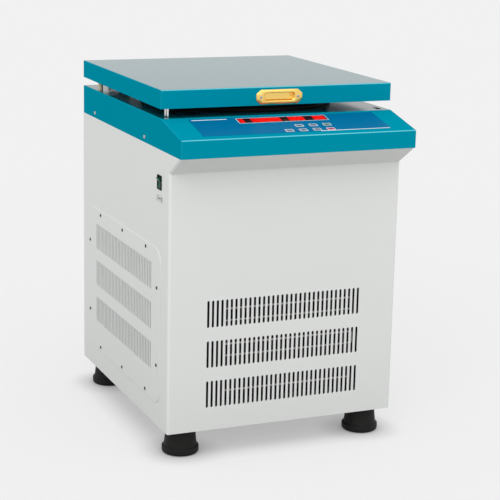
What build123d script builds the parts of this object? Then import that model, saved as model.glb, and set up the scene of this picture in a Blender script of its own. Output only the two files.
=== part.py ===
from build123d import *
import os
from math import atan2, cos, degrees, radians, sin

# Floor-standing refrigerated centrifuge, millimetres.
# +X runs to the right, +Y to the back and +Z up. The origin is on the floor, at the middle of the footprint.

os.makedirs("parts", exist_ok=True)

# Cabinet outline. Depths run back from the front of the white body, heights up from its bottom edge.
width = 600.0
body_depth = 675.0
chin_height = 634.0
chin_rise = 47.0
console_overhang = 74.0
console_front_height = 43.0
deck_rise = 73.0
fold_depth = 58.0
foot_height = 66.0
sheet = 1.5
corner_bend = 7.0
cover_bend = 3.0
side_return = 22.0

# Clearances
gap = 0.3
fit = 0.05
seat = 0.1

# Lid
lid_gap = 22.0
lid_height = 44.0
lid_setback = 64.0
lid_bend = 2.5
lid_foam_inset = 45.0

# Hinges behind the lid
hinge_offset = 9.0
barrel_radius = 7.0
hinge_pin_radius = 4.0
hinge_inset = 100.0
leaf_width = 60.0
leaf_thickness = 2.5
leaf_height = 34.0

# Feet
foot_inset = 55.0
foot_sides = 24
foot_top_radius = 36.0
foot_sole_radius = 42.0
foot_flange_radius = 45.5
foot_flange_top = 19.0
foot_flange_bottom = 8.0
stud_size = 9.0
stud_nut = 18.0
stud_nut_height = 8.0
stud_reach = 14.0

# Vent slots
slot_pitch = 12.0
slot_width = 5.5
front_slot_length = 64.0
front_vent_margin = 102.0
front_slot_middle = 190.7
vent_row_pitch = 98.2
vent_rows = 3
side_slot_length = 61.0
side_vent_lead = 68.0
side_vent_setback = 71.0
side_vent_drop = 47.3

# Access panel on each side
access_margin = 52.0
access_bottom = 56.0
access_top = 442.0
access_corner = 38.0
access_lip = 25.0
screw_inset = 12.0
screw_corner_inset = 105.0
screw_head_radius = 3.8
screw_head_height = 2.0
cover_screw_rise = 13.0
cover_screw_lead = 174.0
cover_screw_setback = 105.0

# Frame of steel angle and square tube
angle_leg = 30.0
angle_wall = 3.0
floor_sheet = 2.0
top_ring_drop = 49.0
top_ring_depth = 40.0
bearer = 30.0
bearer_wall = 2.5
motor_bearer_spread = 220.0
bowl_bearer_spread = 380.0

# Chamber
chamber_setback = 2.5
bowl_radius = 215.0
bowl_depth = 252.0
bowl_hole_gap = 2.0
gasket_margin = 3.0
gasket_width = 24.0
evaporator_wall = 9.0
evaporator_flats = 16
evaporator_height = 170.0
evaporator_drop = 35.0
foam_wall = 18.0
foam_floor = 28.0
foam_corner_wall = 50.0

# Drive
motor_plate_thickness = 10.0
motor_plate_margin = 35.0
mount_height = 25.0
mount_half = 13.0
motor_size = 150.0
motor_corner = 30.0
motor_flange = 40.0
motor_flange_lip = 6.0
motor_height = 205.0
motor_drop = 21.0
neck_radius = 26.0
neck_height = 40.0
neck_seal_size = 112.0
shaft_radius = 12.5
shaft_entry = 35.0

# Swing rotor and its four buckets
rotor_rim = 45.0
rotor_thickness = 26.0
rotor_drop = 97.5
hub_radius = 32.0
hub_rise = 22.0
bucket_count = 4
swing_gap = 20.0
slot_back_gap = 5.0
trunnion_radius = 5.0
trunnion_sides = 12
bucket_half = 38.0
bucket_corner = 13.0
bucket_wall = 3.0
bucket_drop = 90.0
bucket_rim = 15.0
lug_thickness = 3.5
lug_half_width = 11.0
lug_drop = 10.0
running_gap = 0.5
nut_across = 34.0
nut_height = 18.0

# Refrigeration
condenser_side_gap = 100.0
condenser_height = 270.0
condenser_thickness = 50.0
condenser_bottom = 60.0
condenser_setback = 25.0
condenser_end = 15.0
shroud_wall = 2.0
fan_radius = 105.0
fan_hub_radius = 24.0
fan_blades = 5
fan_tip_gap = 6.0
fan_chord = 60.0
fan_pitch = 28.0
fan_stand_off = 22.0
blade_thickness = 2.0
fan_motor_radius = 38.0
fan_motor_sides = 16
fan_motor_length = 45.0
fan_arm = 12.0
fan_post_shift = 9.0
compressor_side_gap = 70.0
compressor_behind = 197.0
compressor_radius = 70.0
compressor_height = 165.0
compressor_stand = 12.0
compressor_plate = 3.0
compressor_pad = 15.0
pipe_radius = 5.0
pipe_sides = 12
port_size = 16.0
discharge_height = 104.0
suction_behind = 215.0

# Drive electronics
module_width = 140.0
module_depth = 180.0
module_height = 70.0
module_fins = 8
module_fin_height = 22.0
module_fin_thickness = 3.0
module_side_gap = 40.0
module_setback = 65.0

# Control panel, measured on the slope: across from the middle, and up the slope from its middle
overlay_left_margin = 62.0
overlay_right_margin = 60.0
overlay_bottom = -48.2
overlay_top = 56.4
overlay_thickness = 0.6
window_left = -121.0
window_right = 106.0
window_bottom = 20.5
window_top = 49.2
key_width = 21.0
key_height = 15.0
key_row_low = -36.9
key_row_high = -9.2
key_places_low = (-20.0, 16.0, 51.5, 87.0)
key_places_high = (17.0, 53.0, 89.0)
key_names = ("set_key", "down_key", "brake_key", "stop_key", "up_key", "select_key", "start_key")
key_proud = 0.3
key_travel = 0.6
key_lip = 1.5
key_lip_thickness = 1.2
board_thickness = 1.6
board_margin = 8.0
standoff_size = 7.0
dome_radius = 3.0
digit_places = (-110.0, -72.0, 12.0, 66.0)
digit_widths = (14.0, 66.0, 28.0, 28.0)
digit_height = 22.0
digit_depth = 6.0

# Power switch on the left side
switch_depth_place = 65.5
switch_drop = 77.5
bezel_width = 30.0
bezel_height = 35.0
bezel_thickness = 2.0
switch_wall = 2.5
switch_body_depth = 24.0
rocker_side_wall = 3.0
rocker_end_gap = 1.65
rocker_outer = 4.5
rocker_valley = 0.5
rocker_inner = 6.0
rocker_tilt = 12.0
rocker_pin_radius = 1.5
rocker_pin_sides = 12
rocker_pin_reach = 1.2
rocker_recess = 2.5

# Lid lock at the front left, with its striker on the lid
striker_inset = 24.0
striker_front = 80.0
striker_spread = 16.0
striker_wire = 2.5
striker_play = 5.5
deck_slot_width = 13.0
deck_slot_margin = 5.5
bolt_radius = 4.0
bolt_height_below_deck = 13.0
bolt_length = 52.0
bolt_reach = 6.0
lock_length = 58.0
lock_width = 36.0
lock_height = 24.0

# Buffers beside the lid's rear corners
buffer_radius = 6.3
buffer_inset = 15.0
buffer_setback = 104.0

# Brass finger pull on the lid's front
pull_length = 119.0
pull_height = 35.0
pull_thickness = 2.2
pull_corner_x = 12.0
pull_corner_z = 10.0
pull_pocket_length = 78.0
pull_pocket_height = 19.0
pull_pocket_depth = 12.0
pull_wall = 1.5
pull_drop = 2.3
pull_screw_spacing = 96.0
pull_screw_head = 3.4
pull_screw_rise = 1.2

# Cable gland at the back
gland_inset = 100.0
gland_height_place = 85.0
gland_bore = 4.5
gland_neck = 8.0
gland_nut = 22.0
gland_reach = 13.0
gland_inside = 12.0

# Places worked out from the sizes above
left = -width / 2
right = width / 2
front = (console_overhang - body_depth - hinge_offset - barrel_radius) / 2
rear = front + body_depth
console_front = front - console_overhang
bottom = foot_height
chin = bottom + chin_height
body_top = chin + chin_rise
brow = body_top + console_front_height
deck = body_top + deck_rise
fold = front + fold_depth
lid_bottom = deck + lid_gap
lid_top = lid_bottom + lid_height
lid_front = front + lid_setback
chamber_y = (front + rear) / 2 + chamber_setback
frame_front = front + corner_bend
frame_rear = rear - sheet
frame_side = right - sheet
pan_top = bottom + floor_sheet
bowl_top = deck - sheet
bowl_bottom = bowl_top - bowl_depth
sleeve_inner = bowl_radius + sheet + seat
sleeve_outer = sleeve_inner + evaporator_wall
foam_half = sleeve_outer + foam_wall
foam_bottom = bowl_bottom - sheet - foam_floor
motor_top = foam_bottom - motor_drop
motor_bottom = motor_top - motor_height
motor_plate_bottom = motor_bottom - motor_plate_thickness
motor_bearer_top = motor_plate_bottom - mount_height
rotor_z = bowl_top - rotor_drop
pivot_radius = bowl_radius - swing_gap - bucket_drop
rotor_radius = pivot_radius + rotor_rim
slot_inner_radius = pivot_radius - bucket_half - slot_back_gap
slot_half = bucket_half + lug_thickness + running_gap
condenser_front = front + condenser_setback
condenser_back = condenser_front + condenser_thickness
condenser_base = bottom + condenser_bottom
fan_z = condenser_base + condenser_height / 2
fan_y = condenser_back + fan_stand_off
slope_angle = atan2(deck - brow, fold - console_front)
slope = Plane(
    origin=(0, (console_front + fold) / 2, (brow + deck) / 2),
    x_dir=(1, 0, 0),
    z_dir=(0, -sin(slope_angle), cos(slope_angle)),
)
switch_y = front + switch_depth_place
switch_z = body_top - switch_drop
hinge_y = rear + hinge_offset
hinge_z = deck + lid_gap / 2
hinge_x = right - hinge_inset
striker_y = front + striker_front + striker_spread / 2
gland_x = right - gland_inset
gland_z = bottom + gland_height_place
striker_x = right - striker_inset
bolt_z = deck - bolt_height_below_deck
access_front = access_margin
access_back = body_depth - access_margin
access_middle_y = front + body_depth / 2
access_middle_z = bottom + (access_bottom + access_top) / 2
condenser_width = width - 2 * condenser_side_gap


def block(x0, x1, y0, y1, z0, z1):
    """A box between two corners."""
    return Pos((x0 + x1) / 2, (y0 + y1) / 2, (z0 + z1) / 2) * Box(x1 - x0, y1 - y0, z1 - z0)


def upright(x, y, z0, z1, radius):
    """A round bar standing on z0."""
    return Pos(x, y, (z0 + z1) / 2) * Cylinder(radius, z1 - z0)


def bar_along_x(x0, x1, y, z, radius):
    return Pos((x0 + x1) / 2, y, z) * Rot(0, 90, 0) * Cylinder(radius, x1 - x0)


def bar_along_y(x, y0, y1, z, radius):
    return Pos(x, (y0 + y1) / 2, z) * Rot(90, 0, 0) * Cylinder(radius, y1 - y0)


def turned(*points):
    """A solid of revolution about Z from (radius, height) points."""
    return revolve(make_face(Plane.XZ * Polyline(*points, close=True)), Axis.Z)


def side_prism(points, x0, x1, inset=0.0):
    """A closed (y, z) outline, moved inwards by the inset, drawn out from x0 to x1."""
    outline = make_face(Polyline(*points, close=True))
    if inset > 0:
        outline = offset(outline, amount=-inset, kind=Kind.INTERSECTION)
    return extrude(Plane.YZ.offset(x0) * outline, amount=x1 - x0)


def on_slope(u0, u1, v0, v1, n0, n1):
    """A box on the sloping panel: across, up the slope, and out of its surface."""
    return slope * block(u0, u1, v0, v1, n0, n1)


def slot_grid(span, length):
    """Rows of upright slots, as many as fit the span, as one flat sketch about the middle of the grid."""
    count = int(span / slot_pitch + fit) + 1
    outline = Rectangle(slot_width, length)
    places = GridLocations(slot_pitch, vent_row_pitch, count, vent_rows)
    return Sketch() + [place * outline for place in places]


def save(name, shape):
    export_step(shape, f"parts/{name}.step")


def save_group(name, solids):
    save(name, Compound(children=list(solids)))


# White body

def body_prism(inset):
    """The white body without openings: a tall box with a leaning brow, its front corners bent."""
    reach = chin_rise
    lean = console_overhang / reach
    high = body_top + reach
    low = bottom - reach
    radius = corner_bend - inset
    brow_points = (
        (front + lean * reach, chin - reach),
        (front - lean * 2 * reach, high),
        (rear + reach, high),
        (rear + reach, chin - reach),
    )
    box_points = ((front, low), (front, high), (rear + reach, high), (rear + reach, low))
    pieces = []
    for points in (box_points, brow_points):
        solid = side_prism(points, left + inset, right - inset, inset)
        ends = solid.edges().filter_by_position(Axis.X, left + inset, left + inset)
        ends += solid.edges().filter_by_position(Axis.X, right - inset, right - inset)
        forward = [edge for edge in ends if edge.center().Y < front + reach * lean]
        leading = [edge for edge in forward if abs((edge % 0.5).Z) > 0.1]
        pieces.append(fillet(leading, radius))
    return pieces[0] + pieces[1]


def body_walls():
    shell = body_prism(0.0) - body_prism(sheet)
    return shell & block(left, right, console_front, rear, bottom, body_top)


def access_outline(inset):
    return Rectangle(access_back - access_front - 2 * inset, access_top - access_bottom - 2 * inset)


def side_plane(x):
    """A plane on a side wall, its origin in the middle of the access panel."""
    return Plane(origin=(x, access_middle_y, access_middle_z), x_dir=(0, 1, 0), z_dir=(1, 0, 0))


def make_body():
    walls = body_walls()
    high = body_top + 1
    slots = slot_grid(width - 2 * front_vent_margin, front_slot_length)
    slot_plane = Plane(origin=(0, front, bottom + front_slot_middle), x_dir=(1, 0, 0), z_dir=(0, -1, 0))
    cutters = extrude(slot_plane * slots, amount=2 * sheet, both=True)
    middle = block(left + side_return, right - side_return, console_front - 1, frame_front, bottom - 1, high)
    save("front_panel", (walls & middle) - cutters)
    window = access_outline(access_lip)
    left_part = walls & block(left - 1, left + side_return, console_front - 1, rear + 1, bottom - 1, high)
    left_part -= extrude(side_plane(left) * window, amount=2 * sheet, both=True)
    left_part -= block(
        left - 1,
        left + 2 * sheet,
        switch_y - bezel_width / 2 + bezel_thickness - gap,
        switch_y + bezel_width / 2 - bezel_thickness + gap,
        switch_z - bezel_height / 2 + bezel_thickness - gap,
        switch_z + bezel_height / 2 - bezel_thickness + gap,
    )
    save("left_side_panel", left_part)
    right_part = walls & block(right - side_return, right + 1, console_front - 1, rear + 1, bottom - 1, high)
    right_part -= extrude(side_plane(right) * window, amount=2 * sheet, both=True)
    save("right_side_panel", right_part)


def make_rear_panel():
    panel = block(left + sheet, right - sheet, rear - sheet, rear, bottom, body_top)
    panel -= bar_along_y(gland_x, rear - 2 * sheet, rear + sheet, gland_z, gland_neck + gap)
    save("rear_panel", panel)


def make_access_panels():
    plate = fillet(access_outline(0.0).vertices(), access_corner)
    span = access_back - access_front - side_vent_lead - side_vent_setback
    along = (side_vent_lead - side_vent_setback) / 2
    rise = (access_top - access_bottom) / 2 - side_vent_drop - side_slot_length / 2 - vent_row_pitch
    slots = Pos(along, rise) * slot_grid(span, side_slot_length)
    face = plate - slots
    save("left_access_panel", extrude(side_plane(left - sheet) * face, amount=sheet))
    save("right_access_panel", extrude(side_plane(right) * face, amount=sheet))


def make_panel_screws():
    across = (access_back - access_front) / 2
    rise = (access_top - access_bottom) / 2
    corner = across - screw_corner_inset
    places = [(u, v) for u in (-corner, 0, corner) for v in (-rise + screw_inset, rise - screw_inset)]
    ends = (-across + 2 * screw_inset, across - screw_inset)
    places += [(u, v) for u in ends for v in (-rise / 2, rise / 2)]
    head = RegularPolygon(screw_head_radius, 6)
    screws = []
    for side in (-1, 1):
        flank = side_plane(side * (right + sheet))
        screws += [extrude(flank * Pos(u, v) * head, amount=side * screw_head_height) for u, v in places]
        for y in (front + cover_screw_lead, rear - cover_screw_setback):
            place = (side * right, y, body_top + cover_screw_rise)
            flank = Plane(origin=place, x_dir=(0, 1, 0), z_dir=(1, 0, 0))
            screws.append(extrude(flank * head, amount=side * screw_head_height))
    save_group("panel_screws", screws)


# Frame, floor and feet

def ring(z0, z1, ledge):
    """A ring of steel angle round the inside of the body, its ledge at the given height."""
    upright_leg = block(-frame_side, frame_side, frame_front, frame_rear, z0, z1)
    upright_leg -= block(
        angle_wall - frame_side,
        frame_side - angle_wall,
        frame_front + angle_wall,
        frame_rear - angle_wall,
        z0,
        z1,
    )
    flat_leg = block(-frame_side, frame_side, frame_front, frame_rear, ledge, ledge + angle_wall)
    flat_leg -= block(
        angle_leg - frame_side,
        frame_side - angle_leg,
        frame_front + angle_leg,
        frame_rear - angle_leg,
        ledge,
        ledge + angle_wall,
    )
    return upright_leg + flat_leg


def corner_posts(z0, z1):
    posts = []
    for side in (-1, 1):
        for y, inward in ((frame_front, 1), (frame_rear, -1)):
            x = side * frame_side
            far_x = x - side * angle_leg
            near_x = x - side * angle_wall
            far_y = y + inward * angle_leg
            near_y = y + inward * angle_wall
            posts.append(block(min(x, far_x), max(x, far_x), min(y, near_y), max(y, near_y), z0, z1))
            posts.append(block(min(x, near_x), max(x, near_x), min(y, far_y), max(y, far_y), z0, z1))
    return posts


def bearers(top, spread):
    """A flat rail down each side and two square tubes across, under one height."""
    pieces = []
    for side in (-1, 1):
        x = side * frame_side
        inner = x - side * angle_wall
        pieces.append(block(min(x, inner), max(x, inner), frame_front, frame_rear, top - bearer, top))
    span = frame_side - angle_wall
    for y in (chamber_y - spread / 2, chamber_y + spread / 2):
        tube = block(-span, span, y - bearer / 2, y + bearer / 2, top - bearer, top)
        tube -= block(
            -span,
            span,
            y - bearer / 2 + bearer_wall,
            y + bearer / 2 - bearer_wall,
            top - bearer + bearer_wall,
            top - bearer_wall,
        )
        pieces.append(tube)
    return pieces


def make_frame():
    ring_top = deck - top_ring_drop
    ring_bottom = ring_top - top_ring_depth
    frame = ring(pan_top, pan_top + angle_leg, pan_top)
    frame += ring(ring_bottom, ring_top, ring_top - angle_wall)
    for piece in corner_posts(pan_top, ring_top):
        frame += piece
    for piece in bearers(motor_bearer_top, motor_bearer_spread):
        frame += piece
    for piece in bearers(foam_bottom, bowl_bearer_spread):
        frame += piece
    save("base_frame", frame)


def foot_places():
    return [
        (x, y)
        for x in (left + foot_inset, right - foot_inset)
        for y in (front + foot_inset, rear - foot_inset)
    ]


def make_floor():
    pan = block(-frame_side, frame_side, frame_front, frame_rear, bottom, pan_top)
    for x, y in foot_places():
        hole = stud_size / 2 + gap
        pan -= block(x - hole, x + hole, y - hole, y + hole, bottom - 1, pan_top + 1)
    save("floor_pan", pan)
    flange = RegularPolygon(foot_flange_radius, foot_sides)
    neck = foot_height - foot_flange_top
    neck_lean = degrees(atan2(foot_flange_radius - foot_top_radius, neck))
    sole_lean = degrees(atan2(foot_flange_radius - foot_sole_radius, foot_flange_bottom))
    foot = extrude(Plane.XY.offset(foot_flange_bottom) * flange, amount=foot_flange_top - foot_flange_bottom)
    foot += extrude(Plane.XY.offset(foot_flange_top) * flange, amount=neck, taper=neck_lean)
    foot += extrude(Plane.XY.offset(foot_flange_bottom) * flange, amount=-foot_flange_bottom, taper=sole_lean)
    save_group("rubber_feet", [Pos(x, y, 0) * foot for x, y in foot_places()])
    half = stud_size / 2
    stud = block(-half, half, -half, half, foot_height, pan_top + stud_reach)
    nut = extrude(Plane.XY.offset(pan_top) * RegularPolygon(stud_nut / 2, 6), amount=stud_nut_height)
    save_group("foot_studs", [Pos(x, y, 0) * (stud + nut) for x, y in foot_places()])


# Teal console cover

def cover_prism(inset):
    low = body_top - console_front_height
    points = ((console_front, low), (console_front, brow), (fold, deck), (rear, deck), (rear, low))
    outline = make_face(Polyline(*points, close=True))
    if inset > 0:
        outline = offset(outline, amount=-inset, kind=Kind.INTERSECTION)
    solid = extrude(Plane.YZ.offset(left + inset) * outline, amount=width - 2 * inset)
    bends = [edge for edge in solid.edges() if edge.center().Z > low + inset + 1]
    bends = [edge for edge in bends if not (abs(edge.center().Y - fold) < 5 and abs(edge.center().X) < 1)]
    return solid if inset > 0 else fillet(bends, cover_bend)


def make_cover():
    shell = cover_prism(0.0) - cover_prism(sheet)
    cover = shell & block(left, right, console_front, rear, body_top, deck)
    cover -= upright(0, chamber_y, deck - 2 * sheet, deck + 1, bowl_radius)
    for side in (-1, 1):
        cover -= block(
            side * striker_x - deck_slot_width / 2,
            side * striker_x + deck_slot_width / 2,
            striker_y - striker_spread / 2 - striker_wire - deck_slot_margin,
            striker_y + striker_spread / 2 + striker_wire + deck_slot_margin,
            deck - 2 * sheet,
            deck + 1,
        )
    cover -= on_slope(*window_edges(gap), -2 * sheet, 1)
    for x, v in key_places():
        cover -= on_slope(*key_edges(x, v, gap), -2 * sheet, 1)
    save("console_cover", cover)


# Control panel

def key_places():
    return [(x, key_row_low) for x in key_places_low] + [(x, key_row_high) for x in key_places_high]


def window_edges(margin):
    return window_left - margin, window_right + margin, window_bottom - margin, window_top + margin


def key_edges(x, v, margin):
    half_width = key_width / 2 + margin
    half_height = key_height / 2 + margin
    return x - half_width, x + half_width, v - half_height, v + half_height


def make_control_panel():
    film_left = left + overlay_left_margin
    film_right = right - overlay_right_margin
    overlay = on_slope(film_left, film_right, overlay_bottom, overlay_top, 0, overlay_thickness)
    overlay -= on_slope(*window_edges(gap), -1, overlay_thickness + 1)
    for x, v in key_places():
        overlay -= on_slope(*key_edges(x, v, gap), -1, overlay_thickness + 1)
    save("control_overlay", overlay)
    window = on_slope(*window_edges(0), -sheet, overlay_thickness)
    save("display_window", window)
    middle = (window_bottom + window_top) / 2
    digits = []
    for x, wide in zip(digit_places, digit_widths):
        low = middle - digit_height / 2
        digits.append(on_slope(x, x + wide, low, low + digit_height, -sheet - digit_depth, -sheet))
    save_group("digit_displays", digits)
    board_face = -sheet - digit_depth
    board_left = window_left - board_margin
    board_right = window_right + board_margin
    board_low = key_row_low - key_height
    board_high = window_top + board_margin
    board = on_slope(board_left, board_right, board_low, board_high, board_face - board_thickness, board_face)
    half = standoff_size / 2
    for x in (board_left + half, board_right - half):
        for v in (board_low + half, board_high - half):
            board += on_slope(x - half, x + half, v - half, v + half, board_face, -sheet)
    key_bottom = -sheet - gap - key_lip_thickness
    for x, v in key_places():
        board += on_slope(
            x - dome_radius,
            x + dome_radius,
            v - dome_radius,
            v + dome_radius,
            board_face,
            key_bottom - key_travel - gap,
        )
    save("control_board", board)
    for name, (x, v) in zip(key_names, key_places()):
        key = on_slope(*key_edges(x, v, 0), key_bottom, overlay_thickness + key_proud)
        key += on_slope(*key_edges(x, v, key_lip), key_bottom, key_bottom + key_lip_thickness)
        save(name, key)


# Power switch

def make_power_switch():
    outer_y = bezel_width / 2 - bezel_thickness
    outer_z = bezel_height / 2 - bezel_thickness
    rocker_half = outer_y - rocker_side_wall
    cavity_y = rocker_half + gap
    cavity_z = outer_z - switch_wall / 2
    rocker_end = cavity_z - rocker_end_gap
    half_y = bezel_width / 2
    half_z = bezel_height / 2
    body = block(left - bezel_thickness, left, -half_y, half_y, -half_z, half_z)
    body += block(left, left + switch_body_depth, -outer_y, outer_y, -outer_z, outer_z)
    body -= block(
        left - bezel_thickness - 1,
        left + switch_body_depth - switch_wall,
        -cavity_y,
        cavity_y,
        -cavity_z,
        cavity_z,
    )
    pivot_x = left + rocker_recess
    body -= bar_along_y(
        pivot_x,
        -cavity_y - rocker_pin_reach - gap,
        cavity_y + rocker_pin_reach + gap,
        0,
        rocker_pin_radius + fit,
    )
    save("power_switch_body", Pos(0, switch_y, switch_z) * body)
    outline = Polyline(
        (rocker_inner, -rocker_end + 2),
        (-rocker_outer - rocker_recess, -rocker_end),
        (-rocker_valley - rocker_recess, 0),
        (-rocker_outer - rocker_recess, rocker_end),
        (rocker_inner, rocker_end - 2),
        close=True,
    )
    rocker = extrude(Plane.XZ * make_face(outline), amount=rocker_half, both=True)
    pin = RegularPolygon(rocker_pin_radius, rocker_pin_sides)
    rocker += extrude(Plane.XZ * pin, amount=rocker_half + rocker_pin_reach, both=True)
    save("power_rocker", Pos(pivot_x, switch_y, switch_z) * Rot(0, -rocker_tilt, 0) * rocker)


# Chamber, insulation and drive

def make_chamber():
    low = bowl_bottom - sheet
    bowl = upright(0, chamber_y, low, bowl_top, bowl_radius + sheet)
    bowl -= upright(0, chamber_y, bowl_bottom, bowl_top, bowl_radius)
    bowl -= upright(0, chamber_y, low, bowl_bottom, neck_radius + bowl_hole_gap)
    save("chamber_bowl", bowl)
    inner = bowl_radius + gasket_margin
    gasket = upright(0, chamber_y, deck, lid_bottom - gap, inner + gasket_width)
    gasket -= upright(0, chamber_y, deck, lid_bottom - gap, inner)
    save("chamber_gasket", gasket)
    sleeve_top = bowl_top - evaporator_drop
    hollow = RegularPolygon(sleeve_inner, evaporator_flats, major_radius=False)
    jacket = RegularPolygon(sleeve_outer, evaporator_flats, major_radius=False) - hollow
    place = Plane(origin=(0, chamber_y, sleeve_top - evaporator_height))
    save("evaporator_jacket", extrude(place * jacket, amount=evaporator_height))
    foam_top = bowl_top
    corner = 2 * foam_half - 2**0.5 * (sleeve_outer + foam_corner_wall)
    outline = chamfer(Rectangle(2 * foam_half, 2 * foam_half).vertices(), corner)
    foam = extrude(Plane(origin=(0, chamber_y, foam_bottom)) * outline, amount=foam_top - foam_bottom)
    cavity = RegularPolygon(sleeve_outer + seat, evaporator_flats, major_radius=False)
    foam -= extrude(Plane(origin=(0, chamber_y, bowl_bottom - sheet)) * cavity, amount=foam_top)
    half = neck_seal_size / 2
    around_neck = block(-half, half, chamber_y - half, chamber_y + half, foam_bottom, bowl_bottom - sheet)
    foam -= around_neck
    save("foam_jacket", foam)
    hole = RegularPolygon(neck_radius + seat, evaporator_flats, major_radius=False)
    seal = around_neck - extrude(Plane(origin=(0, chamber_y, foam_bottom)) * hole, amount=foam_floor)
    save("neck_seal", seal)


def make_drive():
    mount_top = motor_plate_bottom
    plate_x = motor_size / 2 + 2 * motor_plate_margin
    plate_y = motor_bearer_spread / 2 + motor_plate_margin
    plate = block(-plate_x, plate_x, chamber_y - plate_y, chamber_y + plate_y, mount_top, motor_bottom)
    save("motor_plate", plate)
    mounts = [
        block(
            x - mount_half,
            x + mount_half,
            chamber_y + y - mount_half,
            chamber_y + y + mount_half,
            motor_bearer_top,
            mount_top,
        )
        for x in (-plate_x + mount_half, plate_x - mount_half)
        for y in (-motor_bearer_spread / 2, motor_bearer_spread / 2)
    ]
    save_group("vibration_mounts", mounts)
    outline = chamfer(Rectangle(motor_size, motor_size).vertices(), motor_corner)
    housing = extrude(Plane.XY.offset(motor_bottom) * outline, amount=motor_height)
    waist = motor_size - 2 * motor_flange_lip
    groove = chamfer(Rectangle(waist, waist).vertices(), motor_corner)
    band = Rectangle(2 * motor_size, 2 * motor_size) - groove
    waist_height = motor_height - 2 * motor_flange
    band = extrude(Plane.XY.offset(motor_bottom + motor_flange) * band, amount=waist_height)
    housing -= band
    motor = Pos(0, chamber_y, 0) * housing
    neck_top = motor_top + neck_height
    motor += upright(0, chamber_y, motor_top, neck_top, neck_radius)
    motor -= upright(0, chamber_y, neck_top - shaft_entry, neck_top + 1, shaft_radius + fit)
    save("drive_motor", motor)


def make_rotor():
    low = motor_top + neck_height - shaft_entry + gap
    rotor_top = rotor_z + rotor_thickness / 2 + hub_rise
    shaft = upright(0, chamber_y, low, rotor_top, shaft_radius)
    save("drive_shaft", shaft)
    disc = Cylinder(rotor_radius, rotor_thickness)
    disc += Pos(0, 0, (rotor_thickness + hub_rise) / 2) * Cylinder(hub_radius, hub_rise)
    length = rotor_radius
    for turn in range(bucket_count):
        angle = Rot(0, 0, turn * 360 / bucket_count)
        cut = Pos(slot_inner_radius + length / 2, 0, 0) * Box(length, 2 * slot_half, 2 * rotor_thickness)
        disc -= angle * cut
    pin_tip = bucket_half + gap
    pin_length = slot_half + gap - pin_tip
    bar = extrude(RegularPolygon(trunnion_radius, trunnion_sides), amount=pin_length / 2, both=True)
    for turn in range(bucket_count):
        angle = Rot(0, 0, turn * 360 / bucket_count)
        for side in (-1, 1):
            middle = side * (pin_tip + slot_half + gap) / 2
            disc += angle * Pos(pivot_radius, middle, 0) * Rot(90, 0, 0) * bar
    disc -= Cylinder(shaft_radius + seat, 4 * rotor_thickness)
    save("swing_rotor", Pos(0, chamber_y, rotor_z) * disc)
    nut = extrude(RegularPolygon(nut_across / 2, 6), amount=nut_height)
    save("rotor_nut", Pos(0, chamber_y, rotor_top) * nut)


def make_buckets():
    """One bucket hanging at the pivot, its lugs open downwards so that it drops over the rotor's pins."""
    def section(inset):
        side = 2 * (bucket_half - inset)
        return chamfer(Rectangle(side, side).vertices(), bucket_corner - inset * 0.6)

    height = bucket_drop + bucket_rim
    cup = extrude(Plane.XY.offset(-bucket_drop) * section(0), amount=height)
    cup -= extrude(Plane.XY.offset(-bucket_drop + bucket_wall) * section(bucket_wall), amount=height)
    for side in (-1, 1):
        near = bucket_half if side > 0 else -bucket_half - lug_thickness
        far = near + lug_thickness
        lug = block(-lug_half_width, lug_half_width, near, far, -lug_drop, bucket_rim)
        round_end = RegularPolygon(trunnion_radius + gap, trunnion_sides, major_radius=False)
        groove = extrude(Plane.XZ.offset(-near) * round_end, amount=-lug_thickness)
        groove += block(-trunnion_radius - gap, trunnion_radius + gap, near, far, -lug_drop - 1, 0)
        cup += lug - groove
    for turn in range(bucket_count):
        angle = turn * 360 / bucket_count
        place = Pos(0, chamber_y, rotor_z) * Rot(0, 0, angle) * Pos(pivot_radius, 0, 0)
        save(f"bucket_{turn + 1}", place * cup)


# Refrigeration and electronics

def make_condenser():
    half = condenser_width / 2
    top = condenser_base + condenser_height
    core = block(-half, half, condenser_front, condenser_back, condenser_base, top)
    for side in (-1, 1):
        inner = side * half
        outer = side * (half + condenser_end)
        foot = pan_top + angle_wall
        core += block(min(inner, outer), max(inner, outer), condenser_front, condenser_back, foot, top)
    save("condenser", core)
    duct_y = condenser_back + shroud_wall
    plate = block(-half, half, condenser_back, duct_y, condenser_base, top)
    plate -= bar_along_y(0, condenser_back - 1, duct_y + 1, fan_z, fan_radius + fan_tip_gap)
    motor_front = fan_y + fan_chord / 4 + gap
    arm_back = motor_front + fan_motor_length / 2
    reach = fan_radius + fan_tip_gap + fan_arm
    post = reach * cos(radians(45)) + fan_post_shift
    half_arm = fan_arm / 2
    for x in (-post, post):
        for z in (fan_z - post, fan_z + post):
            plate += block(x - half_arm, x + half_arm, duct_y, arm_back, z - half_arm, z + half_arm)
    save("fan_shroud", plate)
    can = Plane(origin=(0, motor_front, fan_z), x_dir=(1, 0, 0), z_dir=(0, 1, 0))
    motor = extrude(can * RegularPolygon(fan_motor_radius, fan_motor_sides), amount=fan_motor_length)
    arm = Box(2 * post / cos(radians(45)), fan_arm / 2, fan_arm)
    motor += Pos(0, arm_back + fan_arm / 4, fan_z) * (Rot(0, 45, 0) * arm + Rot(0, -45, 0) * arm)
    save("fan_motor", motor)
    hub = bar_along_y(0, fan_y - fan_chord / 4, fan_y + fan_chord / 4, fan_z, fan_hub_radius)
    root = fan_hub_radius - 4
    span = fan_radius - root
    for number in range(fan_blades):
        blade = Pos(root + span / 2, 0, 0) * Rot(fan_pitch, 0, 0) * Box(span, blade_thickness, fan_chord)
        hub += Pos(0, fan_y, fan_z) * Rot(0, number * 360 / fan_blades, 0) * blade
    save("condenser_fan", hub)


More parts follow.
